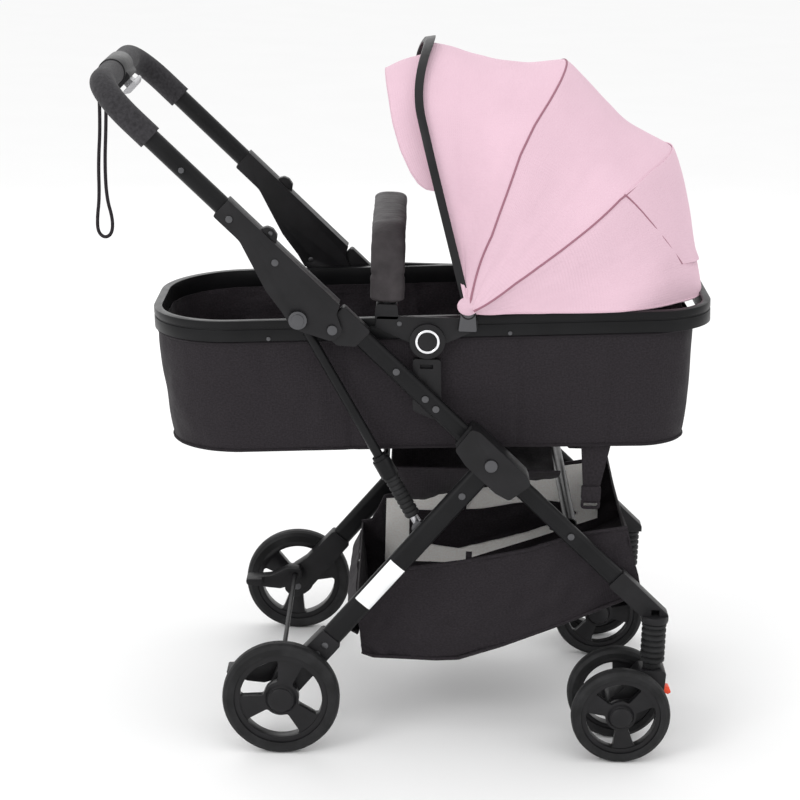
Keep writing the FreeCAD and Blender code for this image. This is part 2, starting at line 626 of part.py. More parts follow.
def mattress():
    z = RIM_CENTRE[1] - RIM_HIGH / 2 - SHELL_DEEP + 5
    wire = plan(RIM_FOOT + 44, RIM_HEAD - 50, RIM_HALF - 28, z, FOOT_CORNER - 30, HEAD_CORNER - 30)
    save("mattress", level(Part.Face(wire).extrude(V(0, 0, 28))))


def carrycot_hubs():
    """Plate on the rim, boss round the release button and tongue into the upright."""
    x, z = BUTTON
    y_rim = -RIM_HALF
    plate = slab([(x - 72, z + 33), (x - 74, z + 17), (x - 26, z - 4), (x + 26, z - 4), (x + 70, z + 17),
                  (x + 70, z + 33)], [4, 4, 8, 8, 4, 4], y_rim - 7, y_rim - 0.1)
    boss = pin(BUTTON, 25.0, y_rim - 16, y_rim - 2)
    tongue = slab([(x - 11, z), (x - 11, 532), (x + 11, 532), (x + 11, z)], 0, -SIDE_Y + 13.2, -SIDE_Y + 17.2)
    body = plate.fuse(boss).fuse(tongue).removeSplitter()
    body = body.cut(pin(BUTTON, 17.2, y_rim - 20, y_rim - 5))
    socket = bumper_socket()
    save("carrycot_hubs", body, mirrored(body), socket, mirrored(socket))


def rim_fasteners():
    """Screws of the hub plates, rim rivets and the pivots that the bows turn on."""
    w = CANOPY_W
    foot = slab([(HUB[0] - 13, HUB[1] - 30), (HUB[0] + 13, HUB[1] - 30), (HUB[0] + 9, HUB[1] + 8),
                 (HUB[0] - 9, HUB[1] + 8)], [2, 2, 6, 6], -RIM_HALF - 10.9, -RIM_HALF - 7.1)
    bolt = pin(HUB, 5.0, -w - 4, -w + 40).fuse(pin(HUB, 8.0, -w - 7, -w - 4))
    out = [foot.fuse(bolt).removeSplitter()]
    for dx in (-40, 48):
        out.append(pin((BUTTON[0] + dx, BUTTON[1] + 23), 3.5, -RIM_HALF - 8.6, -RIM_HALF - 7))
    for rivet in ((-189, 601), (152, 619)):
        out.append(pin(rivet, 3.0, -RIM_HALF - 1.6, -RIM_HALF))
    save("rim_fasteners", *out, *[mirrored(s) for s in out])


def seat_buttons():
    y = -RIM_HALF - 10.5
    ring_part = turned([(14.2, y), (16.9, y), (16.9, y - 7), (15.5, y - 8.5), (14.2, y - 7.5)], BUTTON)
    dome = turned([(0, y), (14.2, y), (14.2, y - 6), (11, y - 8), (0, y - 9)], BUTTON)
    save("seat_button_right", ring_part, dome)
    save("seat_button_left", mirrored(ring_part), mirrored(dome))


def underseat_flap():
    outline = [(18, 442.5), (18, 404), (88, 404), (98, 393), (232, 414), (236, 453)]
    save("underseat_flap", slab(outline, 3, -150, 150))


def carrycot_straps():
    """Webbing from the shell's underside to a keeper, ending in a D-ring."""
    strap = slab([(262, 454.5), (268, 385), (292, 385), (306, 456.5)], 2, -150, -146)
    keeper = slab([(266, 388), (266, 366), (294, 366), (294, 388)], 4, -153, -143)
    strap = strap.cut(keeper)
    outer = slab([(266, 365.6), (266, 353), (294, 353), (294, 365.6)], [1, 5, 5, 1], -150, -146)
    loop = outer.cut(slab([(270, 362), (270, 357), (290, 357), (290, 362)], 1, -160, -140))
    save("carrycot_straps", strap, keeper, loop, mirrored(strap), mirrored(keeper), mirrored(loop))


# ---- bumper bar ----
BUMPER_FOOT = 642.0


def bumper_socket():
    """Socket on the rim that one end of the bumper bar pushes into."""
    y0 = -RIM_HALF + 7
    socket = slab([(BUMPER_X - 15, 657), (BUMPER_X - 17, 636), (BUMPER_X + 17, 636), (BUMPER_X + 15, 657)], 3,
                  y0 - 14, y0 + 11)
    cut = level(ring(0, 600, 39.3).cut(ring(RIM_THICK, 590, 60)))
    bore = Part.makeCylinder(9 + RUN, 30, V(BUMPER_X, y0, BUMPER_FOOT - 0.3))
    socket = socket.cut(cut).cut(bore)
    return max(socket.Solids, key=lambda s: s.Volume)


def bumper():
    z0, high = BUMPER_FOOT, BUMPER_TOP
    y0, bend = RIM_HALF - 7, 58.0
    k = bend * (1 - math.sqrt(0.5))

    def p(y, z):
        return V(BUMPER_X, y, z)

    edges = [Part.LineSegment(p(-y0, z0), p(-y0, high - bend)).toShape(),
             Part.Arc(p(-y0, high - bend), p(-y0 + k, high - k), p(-y0 + bend, high)).toShape(),
             Part.LineSegment(p(-y0 + bend, high), p(y0 - bend, high)).toShape(),
             Part.Arc(p(y0 - bend, high), p(y0 - k, high - k), p(y0, high - bend)).toShape(),
             Part.LineSegment(p(y0, high - bend), p(y0, z0)).toShape()]
    circle = Part.Wire(Part.makeCircle(9, p(-y0, z0), V(0, 0, 1)))
    core = Part.Wire(edges).makePipeShell([circle], True, False)
    save("bumper_bar", core)

    cover_edges = [Part.LineSegment(p(-y0, z0 + 16), p(-y0, high - bend)).toShape()] + edges[1:4]
    cover_edges.append(Part.LineSegment(p(y0, high - bend), p(y0, z0 + 16)).toShape())
    profile = rounded([(-24, -13), (24, -13), (24, 13), (-24, 13)], 12.5,
                      lambda a, b: V(BUMPER_X + a, -y0 + b, z0 + 16))
    cover = Part.Wire(cover_edges).makePipeShell([profile], True, False)
    save("bumper_cover", cover.cut(core))


# ---- canopy ----
def canopy_face(depth, thick, low, angle):
    """Arch-shaped band standing at an angle back from upright, ready to be turned."""
    c, s = math.cos(math.radians(angle)), math.sin(math.radians(angle))

    def p(y, r):
        return V(HUB[0] + r * s, y, HUB[1] + r * c)

    def arch(d):
        w, rise = CANOPY_W - d, CANOPY_R - d - CANOPY_LEG
        steps = [math.pi * i / 12 for i in range(13)]
        spline = Part.BSplineCurve()
        spline.interpolate([p(-w * math.cos(t), CANOPY_LEG + rise * math.sin(t)) for t in steps],
                           InitialTangent=V(s, 0, c), FinalTangent=V(-s, 0, -c))
        return [Part.LineSegment(p(-w, low), p(-w, CANOPY_LEG)).toShape(), spline.toShape(),
                Part.LineSegment(p(w, CANOPY_LEG), p(w, low)).toShape()]

    w = CANOPY_W - depth
    ends = [Part.LineSegment(p(k * w, low), p(k * (w - thick), low)).toShape() for k in (-1, 1)]
    return Part.Face(Part.Wire(Part.__sortEdges__(arch(depth) + arch(depth + thick) + ends)))


def canopy_wedge(depth, thick, low, start, end):
    return canopy_face(depth, thick, low, start).revolve(at(HUB, 0), V(0, 1, 0), end - start)


def bow_edge(shift, reach):
    """Everything in front of the front bow's curved line, moved back by shift."""
    def p(x, z):
        return V(x + shift, -250, z)

    knee, middle, crown = (18.1, 918.0), (15.4, 972.0), (36.0, 1022.0)
    points = [(HUB[0], HUB[1] - 30), HUB, knee]
    back = [crown, (crown[0] + 8, 1060), (-reach, 1060), (-reach, HUB[1] - 30), (HUB[0], HUB[1] - 30)]
    edges = [Part.LineSegment(p(*a), p(*b)).toShape() for a, b in zip(points, points[1:])]
    edges.append(Part.Arc(p(*knee), p(*middle), p(*crown)).toShape())
    edges += [Part.LineSegment(p(*a), p(*b)).toShape() for a, b in zip(back, back[1:])]
    return Part.Face(Part.Wire(edges)).extrude(V(0, 500, 0))


EYE = 11.0
PANEL_LOW = 26.0
BANDS = {"front_bow": -3.0, "front": 6.0, "mid": 11.0, "rear": 16.0, "visor": 21.0, "mid_bow": 27.2,
         "rear_bow": 34.0}


def eyes(band, thick):
    w = CANOPY_W - band
    eye = pin(HUB, EYE, -w, -w + thick).cut(pin(HUB, 5 + RUN, -w - 1, -w + thick + 1))
    return eye.fuse(mirrored(eye))


def canopy():
    thick = 7.0
    band = canopy_wedge(BANDS["front_bow"], thick, 4.0, -34, 2)
    bow = band.common(bow_edge(6, 200)).cut(bow_edge(-6, 220))
    bow = bow.fuse(eyes(BANDS["front_bow"], thick)).cut(pin(HUB, 5 + RUN, -220, 220))
    save("front_bow", max(bow.removeSplitter().Solids, key=lambda s: s.Volume))

    front = canopy_wedge(BANDS["front"], CLOTH, PANEL_LOW, -34, MID_BOW).cut(bow_edge(-2, 200))
    save("canopy_front_panel", max(front.Solids, key=lambda s: s.Volume))
    save("canopy_mid_panel", canopy_wedge(BANDS["mid"], CLOTH, PANEL_LOW, MID_BOW - 1, REAR_BOW))
    save("canopy_rear_panel", canopy_wedge(BANDS["rear"], CLOTH, PANEL_LOW, REAR_BOW - 1, REAR_EDGE))
    visor = canopy_wedge(BANDS["visor"], CLOTH, 180.0, -24, -8)
    save("sun_visor", visor)
    for name, angle in (("mid_bow", MID_BOW), ("rear_bow", REAR_BOW)):
        c, s = math.cos(math.radians(angle)), math.sin(math.radians(angle))
        wire = canopy_face(BANDS[name], 5.0, 4.0, angle)
        wire.translate(V(-3 * c, 0, 3 * s))
        wire = wire.extrude(V(6 * c, 0, -6 * s))
        flat = eyes(BANDS[name], 5.0)
        wire = wire.fuse(flat).cut(pin(HUB, 5 + RUN, -220, 220))
        save("canopy_" + name, wire.removeSplitter())


# ---- wrist strap ----
STRAP_D = 5.0
STRAP_ROUTE = [(-421.0, 0.0), (-421.5, -50.0), (-424.0, -105.0), (-422.0, -155.0), (-413.5, -185.0),
               (-414.5, -206.0), (-424.5, -213.0), (-434.5, -205.0), (-435.5, -185.0), (-432.0, -155.0),
               (-433.0, -105.0), (-429.5, -50.0), (-431.0, -3.0)]


def wrist_strap():
    """Loop of cord under the crossbar, as straight runs joined by tangent arcs."""
    top = side(CROSSBAR_S, 0)[1] - GRIP_R * 0.55
    y = -128.0
    route = [V(x, y, top + dz) for x, dz in STRAP_ROUTE]
    edges, here = [], route[0]
    radii, length = [], 0.0
    for before, corner, after in zip(route[:-2], route[1:-1], route[2:]):
        u, w = before - corner, after - corner
        shorter = min(u.Length, w.Length)
        half = u.getAngle(w) / 2
        reach = 0.45 * shorter
        r = reach * math.tan(half)
        u.normalize()
        w.normalize()
        start, end = corner + u * reach, corner + w * reach
        middle = u + w
        middle.normalize()
        middle = corner + middle * (r / math.sin(half) - r)
        edges.append(Part.LineSegment(here, start).toShape())
        edges.append(Part.Arc(start, middle, end).toShape())
        radii.append(round(r, 1))
        here = end
    edges.append(Part.LineSegment(here, route[-1]).toShape())
    path = Part.Wire(edges)
    circle = Part.Wire(Part.makeCircle(STRAP_D / 2, route[0], route[1] - route[0]))
    cord = path.makePipeShell([circle], True, False)
    expected = math.pi * STRAP_D ** 2 / 4 * path.Length
    print("strap length %.1f, radii %s, volume ratio %.3f" % (path.Length, radii, cord.Volume / expected))
    save("wrist_strap", cord)


def main():
    front_legs()
    leg_hinge_brackets()
    cross_housings()
    frame_pins()
    caster_sockets()
    front_crossbar()
    seat_uprights()
    basket_body()
    basket_pockets()
    rear_leg_tubes()
    rear_hub_brackets()
    rear_leg_fittings()
    brake()
    wheels()
    casters()
    handle_tube()
    release_hub()
    release_lever()
    release_button()
    fold_housings()
    handle_fasteners()
    struts()
    strut_feet()
    carrycot_rim()
    carrycot_shell()
    mattress()
    carrycot_hubs()
    rim_fasteners()
    seat_buttons()
    underseat_flap()
    carrycot_straps()
    bumper()
    canopy()
    wrist_strap()


main()
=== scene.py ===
import json
import math

import bpy
from bpy.props import FloatProperty, FloatVectorProperty, PointerProperty
from mathutils import Matrix, Vector, noise


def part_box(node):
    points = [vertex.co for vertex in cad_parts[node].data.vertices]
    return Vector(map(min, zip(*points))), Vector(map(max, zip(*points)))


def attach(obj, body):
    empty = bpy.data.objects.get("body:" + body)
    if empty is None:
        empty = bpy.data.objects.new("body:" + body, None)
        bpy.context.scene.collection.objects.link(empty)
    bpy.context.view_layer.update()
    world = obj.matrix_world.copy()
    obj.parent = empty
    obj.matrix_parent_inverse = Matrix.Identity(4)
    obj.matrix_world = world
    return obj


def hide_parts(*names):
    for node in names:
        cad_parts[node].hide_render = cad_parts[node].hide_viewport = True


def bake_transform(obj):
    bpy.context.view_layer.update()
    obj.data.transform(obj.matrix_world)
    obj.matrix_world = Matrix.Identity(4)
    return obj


bl_info = {
    "name": "Folding Stroller",
    "version": (1, 0, 0),
    "blender": (4, 5, 0),
    "location": "View3D > Sidebar > Stroller",
    "description": "Dresses a folding stroller's frame with its cloth, padding, trim and finishes",
    "category": "Object",
}

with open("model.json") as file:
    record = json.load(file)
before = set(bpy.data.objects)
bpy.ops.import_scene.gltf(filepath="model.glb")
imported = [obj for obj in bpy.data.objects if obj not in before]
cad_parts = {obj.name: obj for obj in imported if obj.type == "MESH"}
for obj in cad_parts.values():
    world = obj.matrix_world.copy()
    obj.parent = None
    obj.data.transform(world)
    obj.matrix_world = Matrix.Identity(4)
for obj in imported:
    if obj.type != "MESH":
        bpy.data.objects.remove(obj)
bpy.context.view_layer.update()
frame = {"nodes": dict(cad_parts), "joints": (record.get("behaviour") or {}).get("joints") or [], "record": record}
MM = 0.001
SIDES = (("right", -1), ("left", 1))
RECORD_SLOTS = {s["node"]: s["material_slot"] for s in frame["record"]["subparts"]}
NODE_BODY = {n: b for b, ns in frame["record"]["behaviour"]["bodies"].items() for n in ns}


def joint_place(name):
    return Vector([j for j in frame["joints"] if j["name"] == name][0]["pos_m"])


HUB = joint_place("canopy_fold")


# ---- sizes and colours that a user would change ----
def colour(name, description, value):
    return FloatVectorProperty(name=name, description=description, default=value, subtype="COLOR",
                               size=3, min=0, max=1)


def length(name, description, value):
    return FloatProperty(name=name, description=description, default=value, min=0, unit="LENGTH")


class StrollerSizes(bpy.types.PropertyGroup):
    cloth: length("Cloth", "Thickness of the canopy's cloth", 0.0014)
    front_sag: length("Front sag", "How far the front canopy panel sinks between its bows", 0.029)
    mid_sag: length("Middle sag", "How far the middle canopy panel sinks between its bows", 0.025)
    rear_sag: length("Rear sag", "How far the rear canopy panel sinks above the rim", 0.018)
    piping: length("Piping", "Radius of the piping sewn along the bows", 0.0016)
    side_bulge: length("Side bulge", "How far the carrycot's side panels stand out", 0.004)
    basket_bulge: length("Basket bulge", "How far the loaded basket's long walls belly out", 0.006)
    edge: length("Edge", "Rounding of the moulded parts' edges", 0.0008)


class StrollerColours(bpy.types.PropertyGroup):
    pink_light: colour("Pink, light yarn", "Lighter yarn of the canopy cloth", (0.77, 0.57, 0.65))
    pink_dark: colour("Pink, dark yarn", "Darker yarn of the canopy cloth", (0.68, 0.44, 0.53))
    pink_seam: colour("Pink seam", "Piping along the bows", (0.42, 0.20, 0.26))
    dark_cloth: colour("Dark cloth", "Carrycot and basket cloth", (0.015, 0.0125, 0.0145))
    dark_highlight: colour("Dark cloth, raised yarn", "Raised yarn of the dark cloth", (0.026, 0.022, 0.026))
    # pale cloth of the basket boards, lifted above its own colour as painted light so the boards look lit inside
    # the shaded basket
    board_pale_painted_light: colour("Pale cloth", "Basket boards", (0.95, 0.91, 0.87))
    frame_paint: colour("Frame paint", "Powder coat of the tubes", (0.005, 0.005, 0.0055))
    plastic: colour("Plastic", "Moulded housings", (0.0065, 0.0062, 0.007))
    foam: colour("Foam", "Handle grips", (0.022, 0.021, 0.023))
    sleeve: colour("Sleeve", "Cover of the bumper bar", (0.026, 0.0225, 0.024))
    grey: colour("Grey plastic", "Release lever", (0.36, 0.36, 0.37))
    red: colour("Red plastic", "Swivel lock levers", (0.62, 0.055, 0.02))
    rubber: colour("Rubber", "Tyres and ribbed sleeves", (0.010, 0.010, 0.0105))


def sizes():
    return bpy.context.scene.stroller_sizes


def colours():
    return bpy.context.scene.stroller_colours


# ---- modelling helpers ----
def clear_selection():
    if bpy.context.object and bpy.context.object.mode != "OBJECT":
        bpy.ops.object.mode_set(mode="OBJECT")
    bpy.ops.object.select_all(action="DESELECT")


def pick(piece):
    clear_selection()
    piece.select_set(True)
    bpy.context.view_layer.objects.active = piece


def added(name):
    piece = bpy.context.object
    piece.name = piece.data.name = name
    return piece


def settle(piece):
    """Puts the piece's place into its mesh."""
    pick(piece)
    bpy.ops.object.transform_apply(location=True, rotation=True, scale=True)


def modify(piece, kind, **values):
    pick(piece)
    modifier = piece.modifiers.new(kind.title(), kind)
    for key, value in values.items():
        setattr(modifier, key, value)
    bpy.ops.object.modifier_apply(modifier=modifier.name)


def outward(piece):
    pick(piece)
    bpy.ops.object.mode_set(mode="EDIT")
    bpy.ops.mesh.select_all(action="SELECT")
    bpy.ops.mesh.remove_doubles(threshold=1e-5)
    bpy.ops.mesh.normals_make_consistent(inside=False)
    bpy.ops.object.mode_set(mode="OBJECT")


def smooth(piece, degrees=40):
    pick(piece)
    bpy.ops.object.shade_smooth_by_angle(angle=math.radians(degrees))


def cloth_grid(name, across, along, place, span):
    """Grid whose vertices go where place(u, v) says; span is its width and height for the weave."""
    clear_selection()
    bpy.ops.mesh.primitive_grid_add(x_subdivisions=across, y_subdivisions=along, size=1)
    piece = added(name)
    for vertex in piece.data.vertices:
        vertex.co = place(vertex.co.x + 0.5, vertex.co.y + 0.5)
    for loop in piece.data.uv_layers.active.data:
        loop.uv = (loop.uv[0] * span[0], loop.uv[1] * span[1])
    return piece


def dress(piece, body, slot, finish, replaced=(), degrees=40):
    smooth(piece, degrees)
    piece.data.materials.clear()
    piece.data.materials.append(FINISHES[finish])
    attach(piece, body)
    if replaced:
        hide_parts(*replaced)
    return piece


def thicken(piece, thickness, offset=-1):
    outward(piece)
    modify(piece, "SOLIDIFY", thickness=thickness, offset=offset)


def cord_mesh(name, points, radius, closed=False):
    """Round cord through the points, turned into a mesh with closed ends."""
    clear_selection()
    curve = bpy.data.curves.new(name, "CURVE")
    curve.dimensions = "3D"
    curve.bevel_depth = radius
    curve.bevel_resolution = 3
    curve.use_fill_caps = not closed
    spline = curve.splines.new("POLY")
    spline.points.add(len(points) - 1)
    for target, point in zip(spline.points, points):
        target.co = (*point, 1)
    spline.use_cyclic_u = closed
    piece = bpy.data.objects.new(name, curve)
    bpy.context.scene.collection.objects.link(piece)
    pick(piece)
    bpy.ops.object.convert(target="MESH")
    piece = bpy.context.object
    outward(piece)
    return piece


def ripple(point, seed):
    """Smooth noise between about -1 and 1, in a different place for each seed."""
    return noise.noise(Vector(point) + Vector((seed, seed * 1.7, -seed)))


def traced(count, place):
    """The count + 1 points that place(share) gives at even shares from 0 to 1."""
    points = []
    for k in range(count + 1):
        points.append(place(k / count))
    return points


def blend_line(values, t):
    """Value at t of a polyline given as (t, value) pairs."""
    for (t0, a), (t1, b) in zip(values, values[1:]):
        if t <= t1:
            return a + (b - a) * max(0.0, (t - t0) / (t1 - t0))
    return values[-1][1]


# ---- finishes ----
FINISHES = {}


def shader(name, base, roughness, metallic=0.0, sheen=0.0, specular=0.25):
    """Material kept under its name; returns its node tree and its Principled shader."""
    material = bpy.data.materials.new(name)
    material.use_nodes = True
    tree = material.node_tree
    surface = tree.nodes["Principled BSDF"]
    surface.inputs["Base Color"].default_value = (*base, 1)
    surface.inputs["Roughness"].default_value = roughness
    surface.inputs["Metallic"].default_value = metallic
    surface.inputs["Sheen Weight"].default_value = sheen
    surface.inputs["Sheen Roughness"].default_value = 0.5
    surface.inputs["Specular IOR Level"].default_value = specular
    FINISHES[name] = material
    return tree, surface


def node(tree, kind, **values):
    made = tree.nodes.new(kind)
    for key, value in values.items():
        if key in made.inputs:
            made.inputs[key].default_value = value
        else:
            setattr(made, key, value)
    return made


def coordinates(tree, kind="Object", scale=(1, 1, 1)):
    source = tree.nodes.new("ShaderNodeTexCoord")
    mapping = tree.nodes.new("ShaderNodeMapping")
    mapping.inputs["Scale"].default_value = scale
    tree.links.new(source.outputs[kind], mapping.inputs["Vector"])
    return mapping.outputs["Vector"]


def speckle(tree, vector, scale, detail=2.0):
    texture = node(tree, "ShaderNodeTexNoise", Scale=scale, Detail=detail)
    tree.links.new(vector, texture.inputs["Vector"])
    return texture.outputs["Fac"]


def ramp(tree, factor, low, high, colour_low, colour_high):
    made = tree.nodes.new("ShaderNodeValToRGB")
    made.color_ramp.elements[0].position = low
    made.color_ramp.elements[1].position = high
    made.color_ramp.elements[0].color = (*colour_low, 1)
    made.color_ramp.elements[1].color = (*colour_high, 1)
    tree.links.new(factor, made.inputs["Fac"])
    return made.outputs["Color"]


def roughen(tree, surface, factor, low, high):
    spread = node(tree, "ShaderNodeMapRange")
    spread.inputs["To Min"].default_value = low
    spread.inputs["To Max"].default_value = high
    tree.links.new(factor, spread.inputs["Value"])
    tree.links.new(spread.outputs["Result"], surface.inputs["Roughness"])


def emboss(tree, surface, height, strength, distance, previous=None):
    bump = node(tree, "ShaderNodeBump", Strength=strength, Distance=distance)
    tree.links.new(height, bump.inputs["Height"])
    if previous:
        tree.links.new(previous, bump.inputs["Normal"])
    tree.links.new(bump.outputs["Normal"], surface.inputs["Normal"])
    return bump.outputs["Normal"]


def weave(tree, vector, threads):
    """Height of a plain weave with that many threads to the metre."""
    heights = []
    for direction in ("X", "Y"):
        wave = node(tree, "ShaderNodeTexWave", Scale=threads / 20.0, Distortion=0.6)
        wave.inputs["Detail Scale"].default_value = 2.0
        wave.bands_direction = direction
        tree.links.new(vector, wave.inputs["Vector"])
        heights.append(wave.outputs["Fac"])
    both = node(tree, "ShaderNodeMath", operation="ADD")
    tree.links.new(heights[0], both.inputs[0])
    tree.links.new(heights[1], both.inputs[1])
    return both.outputs["Value"]


def speckled(name, base, gain, tint, wear, grain, cells=None, sheen=0.0, specular=0.25):
    """Plain finish whose colour, roughness and surface vary a little; each row starts with its noise's scale and detail.

    tint and wear end with the ends of their range, grain and cells with the bump's strength and depth.
    """
    tree, surface = shader(name, base, 0.5, sheen=sheen, specular=specular)
    place = coordinates(tree)
    scale, detail, low, high = tint
    shade = tuple(min(1, c * gain) for c in base)
    tree.links.new(ramp(tree, speckle(tree, place, scale, detail), low, high, base, shade),
                   surface.inputs["Base Color"])
    scale, detail, low, high = wear
    roughen(tree, surface, speckle(tree, place, scale, detail), low, high)
    first = None
    if cells:
        scale, feature, strength, depth = cells
        texture = node(tree, "ShaderNodeTexVoronoi", Scale=scale, feature=feature)
        tree.links.new(place, texture.inputs["Vector"])
        first = emboss(tree, surface, texture.outputs["Distance"], strength, depth)
    scale, detail, strength, depth = grain
    emboss(tree, surface, speckle(tree, place, scale, detail), strength, depth, first)


def powder_coat(name, base):
    speckled(name, base, 1.9, (14.0, 4.0, 0.35, 0.75), (60.0, 5.0, 0.26, 0.44), (1500.0, 2.0, 0.16, 0.0003),
             specular=0.16)


def moulded(name, base, low, high, grain=0.25):
    speckled(name, base, 1.7, (25.0, 4.0, 0.35, 0.72), (90.0, 4.0, low, high), (2200.0, 3.0, grain, 0.0003))


def foamed(name, base):
    speckled(name, base, 2.0, (220.0, 6.0, 0.3, 0.75), (40.0, 3.0, 0.72, 0.92), (60.0, 4.0, 0.25, 0.0015),
             (900.0, "F1", 0.35, 0.0006), sheen=0.08, specular=0.15)


def rubbery(name, base):
    speckled(name, base, 2.1, (35.0, 6.0, 0.4, 0.72), (130.0, 4.0, 0.45, 0.72), (800.0, 4.0, 0.3, 0.0005),
             specular=0.2)


def hide(name, base):
    speckled(name, base, 1.8, (40.0, 5.0, 0.35, 0.7), (60.0, 4.0, 0.5, 0.72), (45.0, 4.0, 0.4, 0.004),
             (420.0, "DISTANCE_TO_EDGE", 0.35, 0.0008), sheen=0.04, specular=0.2)


def heathered(name, light, dark, threads=1400.0):
    """Cloth of two yarns: mottled colour, short slubs along the weft and a fine weave."""
    tree, surface = shader(name, light, 0.85, sheen=0.05, specular=0.1)
    place = coordinates(tree, "UV")
    slubs = speckle(tree, coordinates(tree, "UV", (1.0, 6.0, 1.0)), 420.0, 5.0)
    warp = speckle(tree, coordinates(tree, "UV", (6.0, 1.0, 1.0)), 420.0, 5.0)
    mixed = node(tree, "ShaderNodeMath", operation="ADD")
    tree.links.new(slubs, mixed.inputs[0])
    tree.links.new(warp, mixed.inputs[1])
    halved = node(tree, "ShaderNodeMath", operation="MULTIPLY")
    halved.inputs[1].default_value = 0.5
    tree.links.new(mixed.outputs["Value"], halved.inputs[0])
    yarn = ramp(tree, halved.outputs["Value"], 0.36, 0.64, dark, light)
    cloud = ramp(tree, speckle(tree, place, 9.0, 3.0), 0.3, 0.75, (0.93, 0.93, 0.93), (1, 1, 1))
    tinted = node(tree, "ShaderNodeMix", data_type="RGBA", blend_type="MULTIPLY")
    tinted.inputs["Factor"].default_value = 1.0
    tree.links.new(yarn, tinted.inputs["A"])
    tree.links.new(cloud, tinted.inputs["B"])
    tree.links.new(tinted.outputs["Result"], surface.inputs["Base Color"])
    first = emboss(tree, surface, weave(tree, place, threads), 0.30, 0.0004)
    emboss(tree, surface, speckle(tree, place, 26.0, 5.0), 0.30, 0.004, first)


def dark_woven(name, base, raised, space="UV", creases=0.5):
    """Smooth dark polyester: a tight weave, faint sheen and soft creases."""
    tree, surface = shader(name, base, 0.72, sheen=0.04, specular=0.12)
    place = coordinates(tree, space)
    mottle = ramp(tree, speckle(tree, place, 300.0, 6.0), 0.35, 0.68, base, raised)
    tree.links.new(mottle, surface.inputs["Base Color"])
    roughen(tree, surface, speckle(tree, place, 24.0, 4.0), 0.60, 0.82)
    first = emboss(tree, surface, weave(tree, place, 1700.0), 0.25, 0.0004)
    emboss(tree, surface, speckle(tree, place, 16.0, 5.0), creases, 0.008, first)


def metal(name, base, low, high):
    tree, surface = shader(name, base, (low + high) / 2, metallic=1.0)
    place = coordinates(tree, scale=(1, 1, 8))
    roughen(tree, surface, speckle(tree, place, 160.0, 4.0), low, high)
    emboss(tree, surface, speckle(tree, place, 500.0, 3.0), 0.08, 0.0003)


def make_finishes():
    c = colours()
    powder_coat("frame_paint", c.frame_paint)
    moulded("moulded_black", c.plastic, 0.38, 0.56)
    moulded("wheel_black", c.plastic, 0.28, 0.44, 0.12)
    moulded("grey_plastic", c.grey, 0.30, 0.45, 0.12)
    moulded("red_plastic", c.red, 0.28, 0.42, 0.1)
    moulded("label_white", (0.78, 0.79, 0.80), 0.45, 0.6, 0.05)
    foamed("grip_foam", c.foam)
    rubbery("tyre_rubber", c.rubber)
    rubbery("ribbed_rubber", c.rubber)
    heathered("canopy_cloth", c.pink_light, c.pink_dark)
    heathered("seam_pink", c.pink_seam, tuple(v * 0.7 for v in c.pink_seam))
    dark_woven("carrycot_cloth", c.dark_cloth, c.dark_highlight)
    dark_woven("lining_cloth", c.dark_cloth, c.dark_highlight, creases=0.9)
    dark_woven("basket_cloth", c.dark_cloth, c.dark_highlight, creases=0.7)
    dark_woven("webbing", c.dark_cloth, c.dark_highlight, "Object", 0.2)
    # the boards' colour holds painted light: it is lifted so the boards inside the shaded basket look lit
    dark_woven("board_cloth_painted_light", c.board_pale_painted_light, tuple(min(1, v * 1.12) for v in c.board_pale_painted_light), creases=0.25)
    hide("bar_sleeve", c.sleeve)
    metal("plated_steel", (0.55, 0.55, 0.57), 0.22, 0.38)
    metal("dark_steel", (0.10, 0.10, 0.105), 0.3, 0.45)
    metal("bright_chrome", (0.86, 0.86, 0.88), 0.04, 0.14)


SLOT_FINISH = {
    "frame_black": "frame_paint", "plastic_black": "moulded_black", "foam_grip": "grip_foam",
    "grey_plastic": "grey_plastic", "steel": "plated_steel", "steel_black": "dark_steel",
    "tyre_black": "tyre_rubber", "wheel_black": "wheel_black", "bellows_black": "ribbed_rubber",
    "lock_red": "red_plastic", "ring_chrome": "bright_chrome", "fabric_dark": "carrycot_cloth",
    "fabric_pale": "board_cloth_painted_light", "fabric_pink": "canopy_cloth", "mattress_dark": "lining_cloth",
    "bar_cover": "bar_sleeve", "webbing": "webbing",
}


# ---- stage ----
CAMERA_PLACE, CAMERA_TILT, CAMERA_ROLL = (-0.0008, -3.138, 1.368), 73.98, 1.58
CAMERA_LENS, CAMERA_SENSOR = 97.5, 36
PAPER_WHITE, PAPER_BRIGHT = (0.94, 0.94, 0.94), (0.95, 0.95, 0.95)
LIGHTS = (  # name, place, size, power, aim
    ("key_light", (-2.6, -3.2, 2.8), 1.8, 52, (0, 0, 0.55)),
    ("fill_light", (3.0, -2.6, 1.9), 2.2, 10, (0, 0, 0.5)),
    ("top_light", (0.0, 0.2, 3.8), 3.0, 14, (0, 0, 0.5)),
    ("back_light", (-0.8, 3.2, 2.2), 2.2, 16, (0, 0, 0.6)),
)


